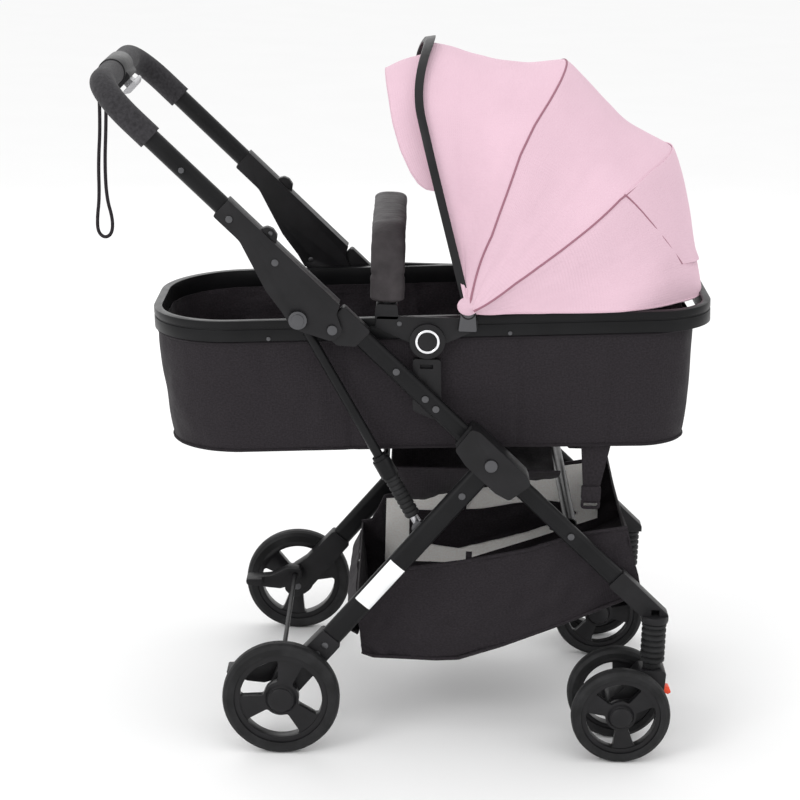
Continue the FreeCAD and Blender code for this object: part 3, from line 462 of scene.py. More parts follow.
class STROLLER_OT_stage(bpy.types.Operator):
    """Sets the camera, the pale floor and the soft studio light"""
    bl_idname = "stroller.stage"
    bl_label = "Camera, floor and light"

    def execute(self, context):
        clear_selection()
        bpy.ops.object.camera_add()
        camera = added("camera")
        tilt = Matrix.Rotation(math.radians(CAMERA_TILT), 4, "X")
        turn = tilt @ Matrix.Rotation(math.radians(CAMERA_ROLL), 4, "Z")
        camera.matrix_world = Matrix.Translation(CAMERA_PLACE) @ turn
        camera.data.lens = CAMERA_LENS
        camera.data.sensor_width = CAMERA_SENSOR
        camera.data.clip_end = 60
        context.scene.camera = camera

        clear_selection()
        bpy.ops.mesh.primitive_plane_add(size=40, location=(0, 0, 0))
        floor = added("floor")
        tree, surface = shader("floor_paper", PAPER_WHITE, 0.9, specular=0.0)
        clouds = speckle(tree, coordinates(tree), 3.0, 3.0)
        tint = ramp(tree, clouds, 0.3, 0.7, PAPER_WHITE, PAPER_BRIGHT)
        tree.links.new(tint, surface.inputs["Base Color"])
        floor.data.materials.append(FINISHES["floor_paper"])

        for name, place, size, power, aim in LIGHTS:
            clear_selection()
            bpy.ops.object.light_add(type="AREA", location=place)
            lamp = added(name)
            lamp.data.size = size
            lamp.data.energy = power
            lamp.rotation_euler = (Vector(aim) - Vector(place)).to_track_quat("-Z", "Y").to_euler()
        world = bpy.data.worlds.new("studio")
        world.use_nodes = True
        sky = world.node_tree.nodes["Background"]
        sky.inputs["Color"].default_value = (1, 1, 1, 1)
        sky.inputs["Strength"].default_value = 1.0
        context.scene.world = world
        context.scene.view_settings.view_transform = "Standard"
        return {"FINISHED"}


# ---- wrist strap: its route as x and height below the top, in millimetres ----
STRAP_ROUTE = [(-421.0, 0.0), (-421.5, -50.0), (-424.0, -105.0), (-422.0, -155.0), (-413.5, -185.0),
               (-414.5, -206.0), (-424.5, -213.0), (-434.5, -205.0), (-435.5, -185.0), (-432.0, -155.0),
               (-433.0, -105.0), (-429.5, -50.0), (-431.0, -3.0)]
STRAP_Y, STRAP_TOP = -128.0, 943.37
STRAP_LENGTH, STRAP_ACROSS = 0.431, 0.005


class STROLLER_OT_wrist_strap(bpy.types.Operator):
    """Hangs the wrist strap's loop under the handle's crossbar"""
    bl_idname = "stroller.wrist_strap"
    bl_label = "Wrist strap"

    def execute(self, context):
        clear_selection()
        curve = bpy.data.curves.new("strap_loop", "CURVE")
        curve.dimensions = "3D"
        curve.bevel_depth = STRAP_ACROSS / 2
        curve.bevel_resolution = 4
        curve.resolution_u = 16
        curve.use_fill_caps = True
        spline = curve.splines.new("NURBS")
        spline.points.add(len(STRAP_ROUTE) - 1)
        for target, (x, z) in zip(spline.points, STRAP_ROUTE):
            target.co = (x * MM, STRAP_Y * MM, (STRAP_TOP + z) * MM, 1)
        spline.order_u = 3
        spline.use_endpoint_u = True
        strap = bpy.data.objects.new("strap_loop", curve)
        context.scene.collection.objects.link(strap)
        curve.materials.append(FINISHES["webbing"])
        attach(strap, "handle")
        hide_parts("wrist_strap")
        return {"FINISHED"}


# ---- frame and moulded parts ----
SOFT_NODES = {"basket_body", "basket_pockets", "carrycot_shell", "mattress", "underseat_flap", "bumper_cover",
              "canopy_front_panel", "canopy_mid_panel", "canopy_rear_panel", "sun_visor", "wrist_strap",
              "seat_button_right", "seat_button_left"}
# edge rounding in steps of the Edge size; rims of wheels take 1.0, all other parts none
ROUNDED = {
    "fold_housings": 1.6, "cross_housings": 1.6, "caster_sockets": 1.6, "caster_fork_right": 1.4,
    "caster_fork_left": 1.4, "rear_hub_brackets": 1.4, "leg_hinge_brackets": 1.2, "carrycot_hubs": 1.2,
    "seat_uprights": 1.2, "release_hub": 1.2, "release_lever": 1.2, "brake_linkage": 1.2, "front_bow": 1.6,
    "carrycot_rim": 1.6, "frame_pins": 0.5, "handle_fasteners": 0.7, "rim_fasteners": 0.6,
    "rear_leg_fittings": 0.5, "carrycot_straps": 0.6, "swivel_lock_right": 0.8, "swivel_lock_left": 0.8,
    "release_button": 0.5, "strut_frame": 0.6, "canopy_mid_bow": 0.8, "canopy_rear_bow": 0.8,
}
FLAT_ANGLE, EDGE_ANGLE = 0.6, 42


class STROLLER_OT_hard_parts(bpy.types.Operator):
    """Finishes the frame's parts and rounds the edges of the moulded ones"""
    bl_idname = "stroller.hard_parts"
    bl_label = "Frame and moulded parts"

    def execute(self, context):
        for name, part in frame["nodes"].items():
            if name in SOFT_NODES:
                continue
            finish = FINISHES[SLOT_FINISH[RECORD_SLOTS[name]]]
            width = ROUNDED.get(name, 1.0 if name.startswith("rim_") else 0.0)
            if not width:
                part.data.materials.clear()
                part.data.materials.append(finish)
                continue
            copy = bpy.data.objects.new(name + "_rounded", part.data.copy())
            context.scene.collection.objects.link(copy)
            copy.data.name = copy.name
            pick(copy)
            bpy.ops.object.mode_set(mode="EDIT")
            bpy.ops.mesh.select_all(action="SELECT")
            bpy.ops.mesh.customdata_custom_splitnormals_clear()
            bpy.ops.mesh.remove_doubles(threshold=2e-5)
            bpy.ops.mesh.dissolve_limited(angle_limit=math.radians(FLAT_ANGLE))
            bpy.ops.object.mode_set(mode="OBJECT")
            modify(copy, "BEVEL", width=width * sizes().edge, segments=2, limit_method="ANGLE",
                   angle_limit=math.radians(EDGE_ANGLE), use_clamp_overlap=True, harden_normals=False)
            dress(copy, NODE_BODY[name], RECORD_SLOTS[name], SLOT_FINISH[RECORD_SLOTS[name]], (name,), 38)
        return {"FINISHED"}


# ---- canopy ----
ARCH_HALF, ARCH_RISE, ARCH_LEG, ARCH_LOW = 0.187, 0.362, 0.185, 0.008
# each line of the canopy as its angle from upright at growing distances from the pivot
FRONT_EDGE = [(0.0, -24.0), (0.03, -18.0), (0.06, -15.4), (0.276, -15.4), (0.329, -13.2), (0.374, -8.3)]
MID_SEAM = [(0.0, 6.0), (0.075, 12.0), (0.111, 15.0), (0.171, 15.8), (0.229, 16.2), (0.273, 17.8), (0.309, 19.9),
            (0.338, 21.3), (0.362, 22.3)]
REAR_SEAM = [(0.0, 64.0), (0.076, 57.3), (0.119, 55.3), (0.188, 53.5), (0.261, 52.0), (0.316, 52.7), (0.362, 54.6)]
REAR_HEM = [(0.0, 100.0), (0.05, 93.0), (0.12, 90.4), (0.2, 89.3), (0.3, 88.6), (0.362, 89.6)]
HEM_DEPTH = 0.013
PIVOT_COVER_PLACE, PIVOT_COVER_RADII = (-0.001, 0.1925, 0.009), (0.0150, 0.0050, 0.0135)
FLAP_EDGE, FLAP_EDGE_RUN, FLAP_DROP = 0.290, 0.095, 0.74
VISOR_DEPTH, VISOR_LOW, VISOR_BACK, VISOR_FLAT = 0.0215, 0.172, -9.5, (0.58, 0.09)
VISOR_EDGE = [(0.172, -12.0), (0.178, -17.0), (0.185, -21.0), (0.195, -23.0), (0.213, -24.2), (0.245, -24.6),
              (0.282, -23.9), (0.312, -22.8), (0.341, -22.0)]


def hub_polar(angle, radius, y):
    a = math.radians(angle)
    return Vector((HUB.x + radius * math.sin(a), y, HUB.z + radius * math.cos(a)))


def arch(c, depth, low=ARCH_LOW):
    """Half width and radius at share c along the arch, foot to foot, depth inside its outline."""
    half, rise = ARCH_HALF - depth, ARCH_RISE - depth - ARCH_LEG
    leg = ARCH_LEG - low
    curve = math.pi * math.sqrt((half * half + rise * rise) / 2)
    total = 2 * leg + curve
    s = c * total
    if s < leg:
        return -half, low + s
    if s > total - leg:
        return half, low + total - s
    t = (s - leg) / curve * math.pi
    return -half * math.cos(t), ARCH_LEG + rise * math.sin(t)


def flare(r):
    """How far the gathered cloth stands out over the pivot, as a share of the half width."""
    t = max(0.0, min(1.0, (r - 0.012) / 0.07))
    return 1 + 0.078 * (1 - t * t * (3 - 2 * t))


def line_point(c, line, depth):
    """Point at share c along one of the canopy's lines, depth inside the arch."""
    y, r = arch(c, depth)
    return hub_polar(blend_line(line, r), r, y * flare(r))


def canopy_point(c, v, start, end, depths, sag, seed):
    """Point of a canopy panel between its line at start and its line at end."""
    y, r = arch(c, depths[0] + (depths[1] - depths[0]) * v)
    first, last = blend_line(start, r), blend_line(end, r)
    angle = first + (last - first) * v
    crown = max(0.0, min(1.0, r / ARCH_RISE))
    top = math.cos(math.pi * min(1.0, abs(y) / ARCH_HALF) / 2) ** 0.5
    hang = math.sin(math.pi * v ** 1.15) * sag * crown
    crease = ripple((c * 9, v * 2.2, 0.3), seed) * 0.0030 * math.sin(math.pi * v)
    crease += ripple((c * 3, v * 7, 1.3), seed + 3) * 0.0012
    rays = ripple((c * 2.0, v * 11, 4.3), seed + 8) * 0.0022 * math.sin(math.pi * v) * (1 - top)
    lift = crease * (0.3 + crown) + rays - hang
    return hub_polar(angle, r + lift * (0.2 + 0.8 * top), y * flare(r) * (1 + lift * (1 - top) / ARCH_HALF))


PANELS = (
    ("canopy_cloth_front", FRONT_EDGE, MID_SEAM, (0.006, 0.006), "front_sag", 5.0, ("canopy_front", "canopy_mid"),
     "canopy_front_panel", (0.90, 0.23)),
    ("canopy_cloth_mid", MID_SEAM, REAR_SEAM, (0.006, 0.003), "mid_sag", 17.0, ("canopy_mid", "canopy_rear"),
     "canopy_mid_panel", (0.90, 0.21)),
    ("canopy_cloth_rear", REAR_SEAM, REAR_HEM, (0.003, 0.013), "rear_sag", 31.0, ("canopy_rear", "carrycot"),
     "canopy_rear_panel", (0.90, 0.22)),
)


def crossing(start, end):
    """Two points either side of a panel's middle line."""
    middle = math.radians((start[-1][1] + end[-1][1]) / 2)
    centre = hub_polar(math.degrees(middle), 0.25, 0)
    step = Vector((math.cos(middle), 0, -math.sin(middle))) * 0.05
    return tuple(centre - step), tuple(centre + step)


def panel(name, across, along, place, flat, bodies, lines, replaced=()):
    """Sheet of canopy cloth between two bows."""
    cloth = cloth_grid(name, across, along, place, flat)
    outward(cloth)
    modify(cloth, "SOLIDIFY", thickness=sizes().cloth, offset=0)
    outward(cloth)
    smooth(cloth, 60)
    cloth.data.materials.append(FINISHES["canopy_cloth"])
    if replaced:
        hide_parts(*replaced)
    begin, finish = crossing(*lines)
    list(bodies)
    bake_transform(cloth)
    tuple(begin)
    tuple(finish)
    return cloth


class STROLLER_OT_canopy(bpy.types.Operator):
    """Stretches the canopy's cloth over its bows, with piping along each"""
    bl_idname = "stroller.canopy"
    bl_label = "Canopy"

    def execute(self, context):
        for name, start, end, depths, sag, seed, bodies, node_name, flat in PANELS:
            hang = getattr(sizes(), sag)
            panel(name, 160, 34, lambda u, v: canopy_point(u, v, start, end, depths, hang, seed), flat, bodies,
                  (start, end), (node_name,))
        for name, line, depth, body in (("piping_mid", MID_SEAM, 0.0056, "canopy_mid"),
                                        ("piping_rear", REAR_SEAM, 0.0026, "canopy_rear")):
            points = traced(160, lambda c: line_point(c, line, depth))
            dress(cord_mesh(name, points, sizes().piping), body, "fabric_pink", "seam_pink")
        hem = traced(160, lambda c: line_point(c, REAR_HEM, HEM_DEPTH))
        dress(cord_mesh("canopy_hem", hem, 0.0015), "carrycot", "fabric_pink", "canopy_cloth")
        for side_name, side in SIDES:
            clear_selection()
            x, y, z = PIVOT_COVER_PLACE
            bpy.ops.mesh.primitive_uv_sphere_add(segments=48, ring_count=24, radius=1,
                                                 location=(HUB.x + x, side * y, HUB.z + z))
            cap = added("pivot_cover_" + side_name)
            cap.scale = PIVOT_COVER_RADII
            settle(cap)
            dress(cap, "canopy_front", "fabric_pink", "canopy_cloth", (), 60)
        return {"FINISHED"}


class STROLLER_OT_rear_flap(bpy.types.Operator):
    """Sews the ventilation flap over the rear canopy panel"""
    bl_idname = "stroller.rear_flap"
    bl_label = "Canopy rear flap"

    def execute(self, context):
        def place(u, v):
            edge = FLAP_EDGE + FLAP_EDGE_RUN * v
            c = edge + (1 - 2 * edge) * u
            w = -0.01 + (FLAP_DROP + 0.05 * math.sin(math.pi * u)) * v
            y, r = arch(c, 0.003 + (HEM_DEPTH - 0.003) * w)
            first, last = blend_line(REAR_SEAM, r), blend_line(REAR_HEM, r)
            hang = math.sin(math.pi * max(0.0, w)) * sizes().rear_sag
            rim = min(1.0, 9 * min(u, 1 - u))
            puff = 0.0022 + 0.0065 * math.sin(math.pi * min(1, v * 1.1)) * math.sin(math.pi * u) ** 0.5
            puff += 0.0020 * v ** 3 * rim + 0.0022 * ripple((u * 5, v * 3, 0), 9.0) * rim
            return hub_polar(first + (last - first) * w, r + puff - hang, y * (1 + 0.012 * math.sin(math.pi * v)))

        panel("canopy_flap", 70, 30, place, (0.36, 0.14), ("canopy_rear", "carrycot"), (REAR_SEAM, REAR_HEM))
        for name, edge in (("flap_edge_near", 0.0), ("flap_edge_far", 1.0)):
            points = traced(40, lambda v: place(edge, v))
            dress(cord_mesh(name, points, 0.0012), "carrycot", "fabric_pink", "seam_pink")
        return {"FINISHED"}


class STROLLER_OT_visor(bpy.types.Operator):
    """Lays the sun visor in front of the front bow"""
    bl_idname = "stroller.visor"
    bl_label = "Sun visor"

    def execute(self, context):
        def place(u, v):
            y, r = arch(u, VISOR_DEPTH, VISOR_LOW)
            front = blend_line(VISOR_EDGE, r)
            angle = front + (VISOR_BACK - front) * v
            drop = 0.004 * (1 - v) ** 2
            return hub_polar(angle, r - drop + 0.0016 * ripple((u * 6, v * 2, 0), 2.0), y)

        visor = cloth_grid("visor_cloth", 130, 20, place, VISOR_FLAT)
        thicken(visor, 0.002, 0)
        dress(visor, "visor", "fabric_pink", "canopy_cloth", ("sun_visor",), 60)
        edge = traced(130, lambda u: place(u, 0.0))
        dress(cord_mesh("visor_edge", edge, 0.0013), "visor", "fabric_pink", "canopy_cloth")
        return {"FINISHED"}


# ---- carrycot ----
RIM_MIDDLE = Vector((0.0354, 0, 0.624))
TILT = math.radians(3.0)
RIM_FOOT, RIM_HEAD, RIM_HALF = -0.400, 0.408, 0.172
FOOT_CORNER, HEAD_CORNER = 0.125, 0.080


def tilted(x, y, z):
    """Point of the carrycot, given level with x from the rim's middle and z from the floor."""
    z -= RIM_MIDDLE.z
    return Vector((RIM_MIDDLE.x + x * math.cos(TILT) - z * math.sin(TILT), y,
                   RIM_MIDDLE.z + x * math.sin(TILT) + z * math.cos(TILT)))


def rim_outline(share, foot_gap, head_gap, side_gap, corner_gap):
    """Point and outward normal of the carrycot's rounded outline, once round for share 0 to 1."""
    x0, x1, half = RIM_FOOT + foot_gap, RIM_HEAD - head_gap, RIM_HALF - side_gap
    rf, rh = max(0.01, FOOT_CORNER - corner_gap), max(0.01, HEAD_CORNER - corner_gap)
    runs = [(2 * (half - rf)), rf * math.pi / 2, x1 - x0 - rf - rh, rh * math.pi / 2, 2 * (half - rh),
            rh * math.pi / 2, x1 - x0 - rf - rh, rf * math.pi / 2]
    corners = [(x0, half - rf), (x0 + rf, -half + rf), (x0 + rf, -half), (x1 - rh, -half + rh),
               (x1, -half + rh), (x1 - rh, half - rh), (x1 - rh, half), (x0 + rf, half - rf)]
    headings = [(0, -1), None, (1, 0), None, (0, 1), None, (-1, 0), None]
    starts = [None, math.pi, None, -math.pi / 2, None, 0.0, None, math.pi / 2]
    s = share * sum(runs)
    for run, corner, heading, start in zip(runs, corners, headings, starts):
        if s <= run + 1e-9:
            if heading:
                return (corner[0] + heading[0] * s, corner[1] + heading[1] * s), (heading[1], -heading[0])
            radius = run / (math.pi / 2)
            a = start + s / radius
            return ((corner[0] + radius * math.cos(a), corner[1] + radius * math.sin(a)),
                    (math.cos(a), math.sin(a)))
        s -= run
    return (x0, half - rf), (-1, 0)


SHELL_TOP, SHELL_LOW = 0.609, 0.444
SEAM_SHARES = (0.215, 0.335, 0.400, 0.600, 0.665, 0.785)


def shell_point(share, v, shrink, bulge, seed, fold=1.0):
    """Carrycot wall from the rim, v = 0, to the bottom edge, v = 1, then inwards to its middle line, v = 2."""
    fall = min(1.0, v)
    gaps = (0.006 + 0.0145 * fall + shrink, 0.026 + 0.015 * fall + shrink, 0.007 + 0.007 * fall + shrink,
            0.008 + 0.006 * fall + shrink)
    (x, y), (nx, ny) = rim_outline(share, *gaps)
    z = SHELL_TOP + (SHELL_LOW - SHELL_TOP) * fall - 0.004 * fall * max(0.0, min(1.0, x / 0.3))
    out = bulge * math.sin(math.pi * min(1.0, fall * 1.02)) ** 0.7
    for seam in SEAM_SHARES:
        out -= 0.0022 * math.exp(-((share - seam) / 0.0022) ** 2)
    out += fold * 0.0030 * ripple((share * 26, fall * 2.0, 0), seed) * math.sin(math.pi * fall) ** 0.5
    out += fold * 0.0012 * ripple((share * 80, fall * 3.5, 0), seed + 5)
    x, y = x + nx * out, y + ny * out
    if v > 1:
        inner = (v - 1.0)
        spine = max(-0.20, min(0.25, x))
        x, y = x + (spine - x) * inner, y * (1 - inner)
        z += 0.001 * math.sin(math.pi * inner)
    return tilted(x, y, z)


class STROLLER_OT_carrycot(bpy.types.Operator):
    """Sews the carrycot's outer shell, its lining and its bottom piping"""
    bl_idname = "stroller.carrycot"
    bl_label = "Carrycot shell and lining"

    def execute(self, context):
        bulge = sizes().side_bulge

        def wall_and_floor(v, wall):
            """Share v of the cloth's way as 0 to 1 down the wall and 1 to 2 across the floor."""
            w = v * wall
            return w if w <= 1 else 1 + (w - 1) / (wall - 1)

        def outer(u, v):
            return shell_point(u, wall_and_floor(v, 1.3), 0.0, bulge, 4.0)

        shell = cloth_grid("carrycot_skin", 420, 65, outer, (2.3, 0.32))
        thicken(shell, 0.0022)
        dress(shell, "carrycot", "fabric_dark", "carrycot_cloth", ("carrycot_shell",), 60)

        def inner(u, v):
            w = wall_and_floor(v, 1.25)
            point = shell_point(u, min(w, 2.0), 0.0065, 0.0, 12.0, 1.6)
            point.z += 0.006 * min(1.0, w) + 0.004
            return point

        lining = cloth_grid("carrycot_lining", 420, 50, inner, (2.2, 0.30))
        thicken(lining, 0.0016)
        dress(lining, "carrycot", "mattress_dark", "lining_cloth", (), 60)

        for name, fall, gap, radius in (("bottom_piping", 1.0, -0.0008, 0.0020),
                                        ("top_binding", 0.02, -0.001, 0.0022)):
            points = []
            for k in range(300):
                points.append(shell_point(k / 300, fall, gap, 0.0, 4.0, 0.4))
            dress(cord_mesh(name, points, radius, True), "carrycot", "fabric_dark", "carrycot_cloth")
        return {"FINISHED"}


PAD_SIZE, PAD_X, PAD_LEVEL, PAD_SWELL = (0.69, 0.27, 0.020), -0.005, 0.464, 0.005
CHANNEL_PITCH, CHANNEL_DEPTH, CHANNEL_START = 0.115, 0.0022, 0.86


class STROLLER_OT_mattress(bpy.types.Operator):
    """Fills the mattress and lets it swell under its cover"""
    bl_idname = "stroller.mattress"
    bl_label = "Mattress"

    def execute(self, context):
        clear_selection()
        bpy.ops.mesh.primitive_cube_add(size=1)
        pad = added("mattress_pad")
        for vertex in pad.data.vertices:
            x, y, z = vertex.co
            vertex.co = tilted(PAD_X + x * PAD_SIZE[0], y * PAD_SIZE[1], PAD_LEVEL + z * PAD_SIZE[2])
        modify(pad, "BEVEL", width=0.009, segments=3)
        modify(pad, "REMESH", mode="VOXEL", voxel_size=0.006)
        rest = [v.co.copy() for v in pad.data.vertices]
        pick(pad)
        cloth = pad.modifiers.new("Cloth", "CLOTH")
        cloth.settings.use_pressure = True
        cloth.settings.uniform_pressure_force = 4.0
        cloth.settings.effector_weights.gravity = 0.0
        cloth.settings.quality = 4
        cloth.collision_settings.use_collision = False
        for step in range(1, 21):
            context.scene.frame_set(step)
        bpy.ops.object.modifier_apply(modifier=cloth.name)
        context.scene.frame_set(1)
        for vertex, start in zip(pad.data.vertices, rest):
            move = vertex.co - start
            if move.length > PAD_SWELL:
                vertex.co = start + move.normalized() * PAD_SWELL
        for vertex in pad.data.vertices:
            channel = math.cos(vertex.co.x * 2 * math.pi / CHANNEL_PITCH)
            if vertex.normal.z > 0.3:
                vertex.co.z -= CHANNEL_DEPTH * max(0.0, channel - CHANNEL_START) / (1 - CHANNEL_START)
        dress(pad, "carrycot", "mattress_dark", "lining_cloth", ("mattress",), 60)
        return {"FINISHED"}


SLEEVE_X, SLEEVE_HALF, SLEEVE_LOW, SLEEVE_TOP, SLEEVE_BEND = -0.023, 0.165, 0.658, 0.751, 0.058
SLEEVE_DEEP, SLEEVE_THICK, SLEEVE_SQUARENESS = 0.0242, 0.0128, 0.75


class STROLLER_OT_bumper_sleeve(bpy.types.Operator):
    """Pulls the padded sleeve over the bumper bar"""
    bl_idname = "stroller.bumper_sleeve"
    bl_label = "Bumper bar sleeve"

    def execute(self, context):
        half, low, top, bend = SLEEVE_HALF, SLEEVE_LOW, SLEEVE_TOP, SLEEVE_BEND
        straight, arc, run = top - bend - low, bend * math.pi / 2, 2 * (half - bend)
        total = 2 * straight + 2 * arc + run

        def path(s):
            if s < straight:
                return (-half, low + s), (-1, 0)
            s -= straight
            if s < arc:
                a = s / bend
                return ((-half + bend - bend * math.cos(a), top - bend + bend * math.sin(a)),
                        (-math.cos(a), math.sin(a)))
            s -= arc
            if s < run:
                return (-half + bend + s, top), (0, 1)
            s -= run
            if s < arc:
                a = s / bend
                return ((half - bend + bend * math.sin(a), top - bend + bend * math.cos(a)),
                        (math.sin(a), math.cos(a)))
            return (half, top - bend - (s - arc)), (1, 0)

        def place(u, v):
            s = min(u * total, total - 1e-6)
            (y, z), (ny, nz) = path(s)
            a = 2 * math.pi * v
            flat_x = math.copysign(abs(math.cos(a)) ** SLEEVE_SQUARENESS, math.cos(a)) * SLEEVE_DEEP
            flat_n = math.copysign(abs(math.sin(a)) ** SLEEVE_SQUARENESS, math.sin(a)) * SLEEVE_THICK
            end = min(1.0, min(s, total - s) / 0.010 + 0.55)
            wrinkle = 1 + 0.035 * ripple((u * 34, math.cos(a) * 1.2, math.sin(a) * 1.2), 6.0)
            wrinkle += 0.03 * ripple((u * 9, math.cos(a), math.sin(a)), 8.0)
            wrinkle -= 0.05 * math.exp(-((v - 0.5) / 0.012) ** 2)
            for band in (0.085, 0.915):
                wrinkle -= 0.06 * math.exp(-((u - band) / 0.006) ** 2)
            flat_x, flat_n = flat_x * end * wrinkle, flat_n * end * wrinkle
            return Vector((SLEEVE_X + flat_x, y + ny * flat_n, z + nz * flat_n))

        sleeve = cloth_grid("bumper_sleeve", 240, 48, place, (0.55, 0.12))
        outward(sleeve)
        dress(sleeve, "bumper", "bar_cover", "bar_sleeve", ("bumper_cover",), 60)
        pick(sleeve)
        bpy.ops.object.mode_set(mode="EDIT")
        bpy.ops.mesh.select_all(action="DESELECT")
        bpy.ops.mesh.select_non_manifold()
        bpy.ops.mesh.fill()
        bpy.ops.object.mode_set(mode="OBJECT")
        outward(sleeve)
        return {"FINISHED"}


# ---- basket ----
BASKET_TOP = [(-0.057, 0.213), (-0.040, 0.216), (-0.030, 0.234), (-0.020, 0.258), (0.028, 0.262), (0.110, 0.276),
              (0.190, 0.294), (0.262, 0.320), (0.334, 0.333)]
BASKET_LOW = [(-0.047, 0.126), (-0.030, 0.120), (0.025, 0.119), (0.062, 0.118), (0.095, 0.120), (0.160, 0.143),
              (0.236, 0.175), (0.326, 0.216), (0.360, 0.233)]
BASKET_HALF, BASKET_WALL_SHARE = 0.170, 0.33


def along_line(points, t):
    """Point at share t of a polyline's length."""
    runs = [math.dist(a, b) for a, b in zip(points, points[1:])]
    s = t * sum(runs)
    for a, b, d in zip(points, points[1:], runs):
        if s <= d:
            return (a[0] + (b[0] - a[0]) * s / d, a[1] + (b[1] - a[1]) * s / d)
        s -= d
    return points[-1]


class STROLLER_OT_basket(bpy.types.Operator):
    """Sews the shopping basket: two bellied long walls and a sagging floor, with its piping"""
    bl_idname = "stroller.basket"
    bl_label = "Basket"

    def execute(self, context):
        bulge = sizes().basket_bulge

        def skin(u, v):
            """v runs from one top edge down a long wall, across the floor and up the other."""
            top, low = along_line(BASKET_TOP, u), along_line(BASKET_LOW, u)
            side = -1 if v < 0.5 else 1
            w = v if v < 0.5 else 1 - v
            if w < BASKET_WALL_SHARE:
                f = (w / BASKET_WALL_SHARE) ** 0.9
                x = top[0] + (low[0] - top[0]) * f
                z = top[1] + (low[1] - top[1]) * f
                belly = bulge * math.sin(math.pi * f ** 1.2) * math.sin(math.pi * min(1, max(0, u))) ** 0.4
                pleat = 0.0060 * ripple((u * 11 + f * 2, f * 2.4, side), 21.0) * (0.2 + f * (1 - f) * 3)
                pleat += 0.0050 * ripple((u * 5 + f * 3, f * 5, side), 44.0) * f
                pleat += 0.0035 * ripple((u * 30 - f * 9, f * 4, side), 63.0) * (1 - u) * (0.3 + f)
                return Vector((x, side * (BASKET_HALF - 0.002 + belly - 0.004 * f + pleat), z))
            f = (w - BASKET_WALL_SHARE) / (0.5 - BASKET_WALL_SHARE)
            y = side * (BASKET_HALF - 0.006) * (1 - f)
            sag = 0.002 * (1 - (1 - f) ** 2) * math.sin(math.pi * u)
            return Vector((low[0], y, low[1] - sag + 0.0015 * ripple((u * 8, y * 20, 0), 3.0)))

        shell = cloth_grid("basket_skin", 150, 120, skin, (0.46, 0.72))
        thicken(shell, 0.0024)
        dress(shell, "front_frame", "fabric_dark", "basket_cloth", ("basket_body",), 60)

        def end_wall(points_top, points_low, name):
            def place(u, v):
                y = (u - 0.5) * 2 * (BASKET_HALF - 0.003)
                x = points_top[0] + (points_low[0] - points_top[0]) * v
                z = points_top[1] + (points_low[1] - points_top[1]) * v
                x += 0.003 * ripple((u * 5, v * 2, 0), 14.0) * math.sin(math.pi * v)
                z -= 0.010 * math.sin(math.pi * u) * (1 - v)
                return Vector((x, y, z))

            wall = cloth_grid(name, 60, 30, place, (0.34, 0.18))
            thicken(wall, 0.0024)
            dress(wall, "front_frame", "fabric_dark", "basket_cloth", (), 60)

        end_wall(BASKET_TOP[0], BASKET_LOW[0], "basket_rear_wall")
        end_wall(BASKET_TOP[-1], BASKET_LOW[-1], "basket_front_wall")
        for side_name, side in SIDES:
            for edge_name, line, inset in (("hem", BASKET_TOP, 0.0), ("welt", BASKET_LOW, 0.004)):
                def place(t):
                    x, z = along_line(line, t)
                    return Vector((x, side * (BASKET_HALF - 0.001 - inset), z))

                points = traced(89, place)
                dress(cord_mesh("basket_%s_%s" % (edge_name, side_name), points, 0.0026), "front_frame",
                      "fabric_dark", "webbing")
        return {"FINISHED"}


BOARD_TOP = [(-0.018, 0.255), (0.028, 0.258), (0.110, 0.272), (0.190, 0.290), (0.262, 0.318), (0.318, 0.327)]
BOARD_LOW = [(-0.018, 0.150), (0.096, 0.150), (0.160, 0.173), (0.225, 0.196), (0.322, 0.232)]
SLIP_TOP = [(0.020, 0.236), (0.130, 0.247), (0.190, 0.258), (0.240, 0.262), (0.268, 0.258), (0.286, 0.240)]
SLIP_LOW = [(0.020, 0.186), (0.100, 0.180), (0.215, 0.212), (0.286, 0.238)]
BOARD_Y, SLIP_Y, SLIP_HEM_Y, SLIP_BOW = 0.1648, 0.1615, 0.1612, 0.0062
TAPE_PLACE, TAPE_SIZE = (0.106, 0.1575, 0.256), (0.009, 0.0012, 0.058)
POCKET_HALF, POCKET_X = 0.150, -0.057
POCKET_LINE = [(-0.0590, 0.206), (-0.0715, 0.190), (-0.0715, 0.152), (-0.0515, 0.147)]


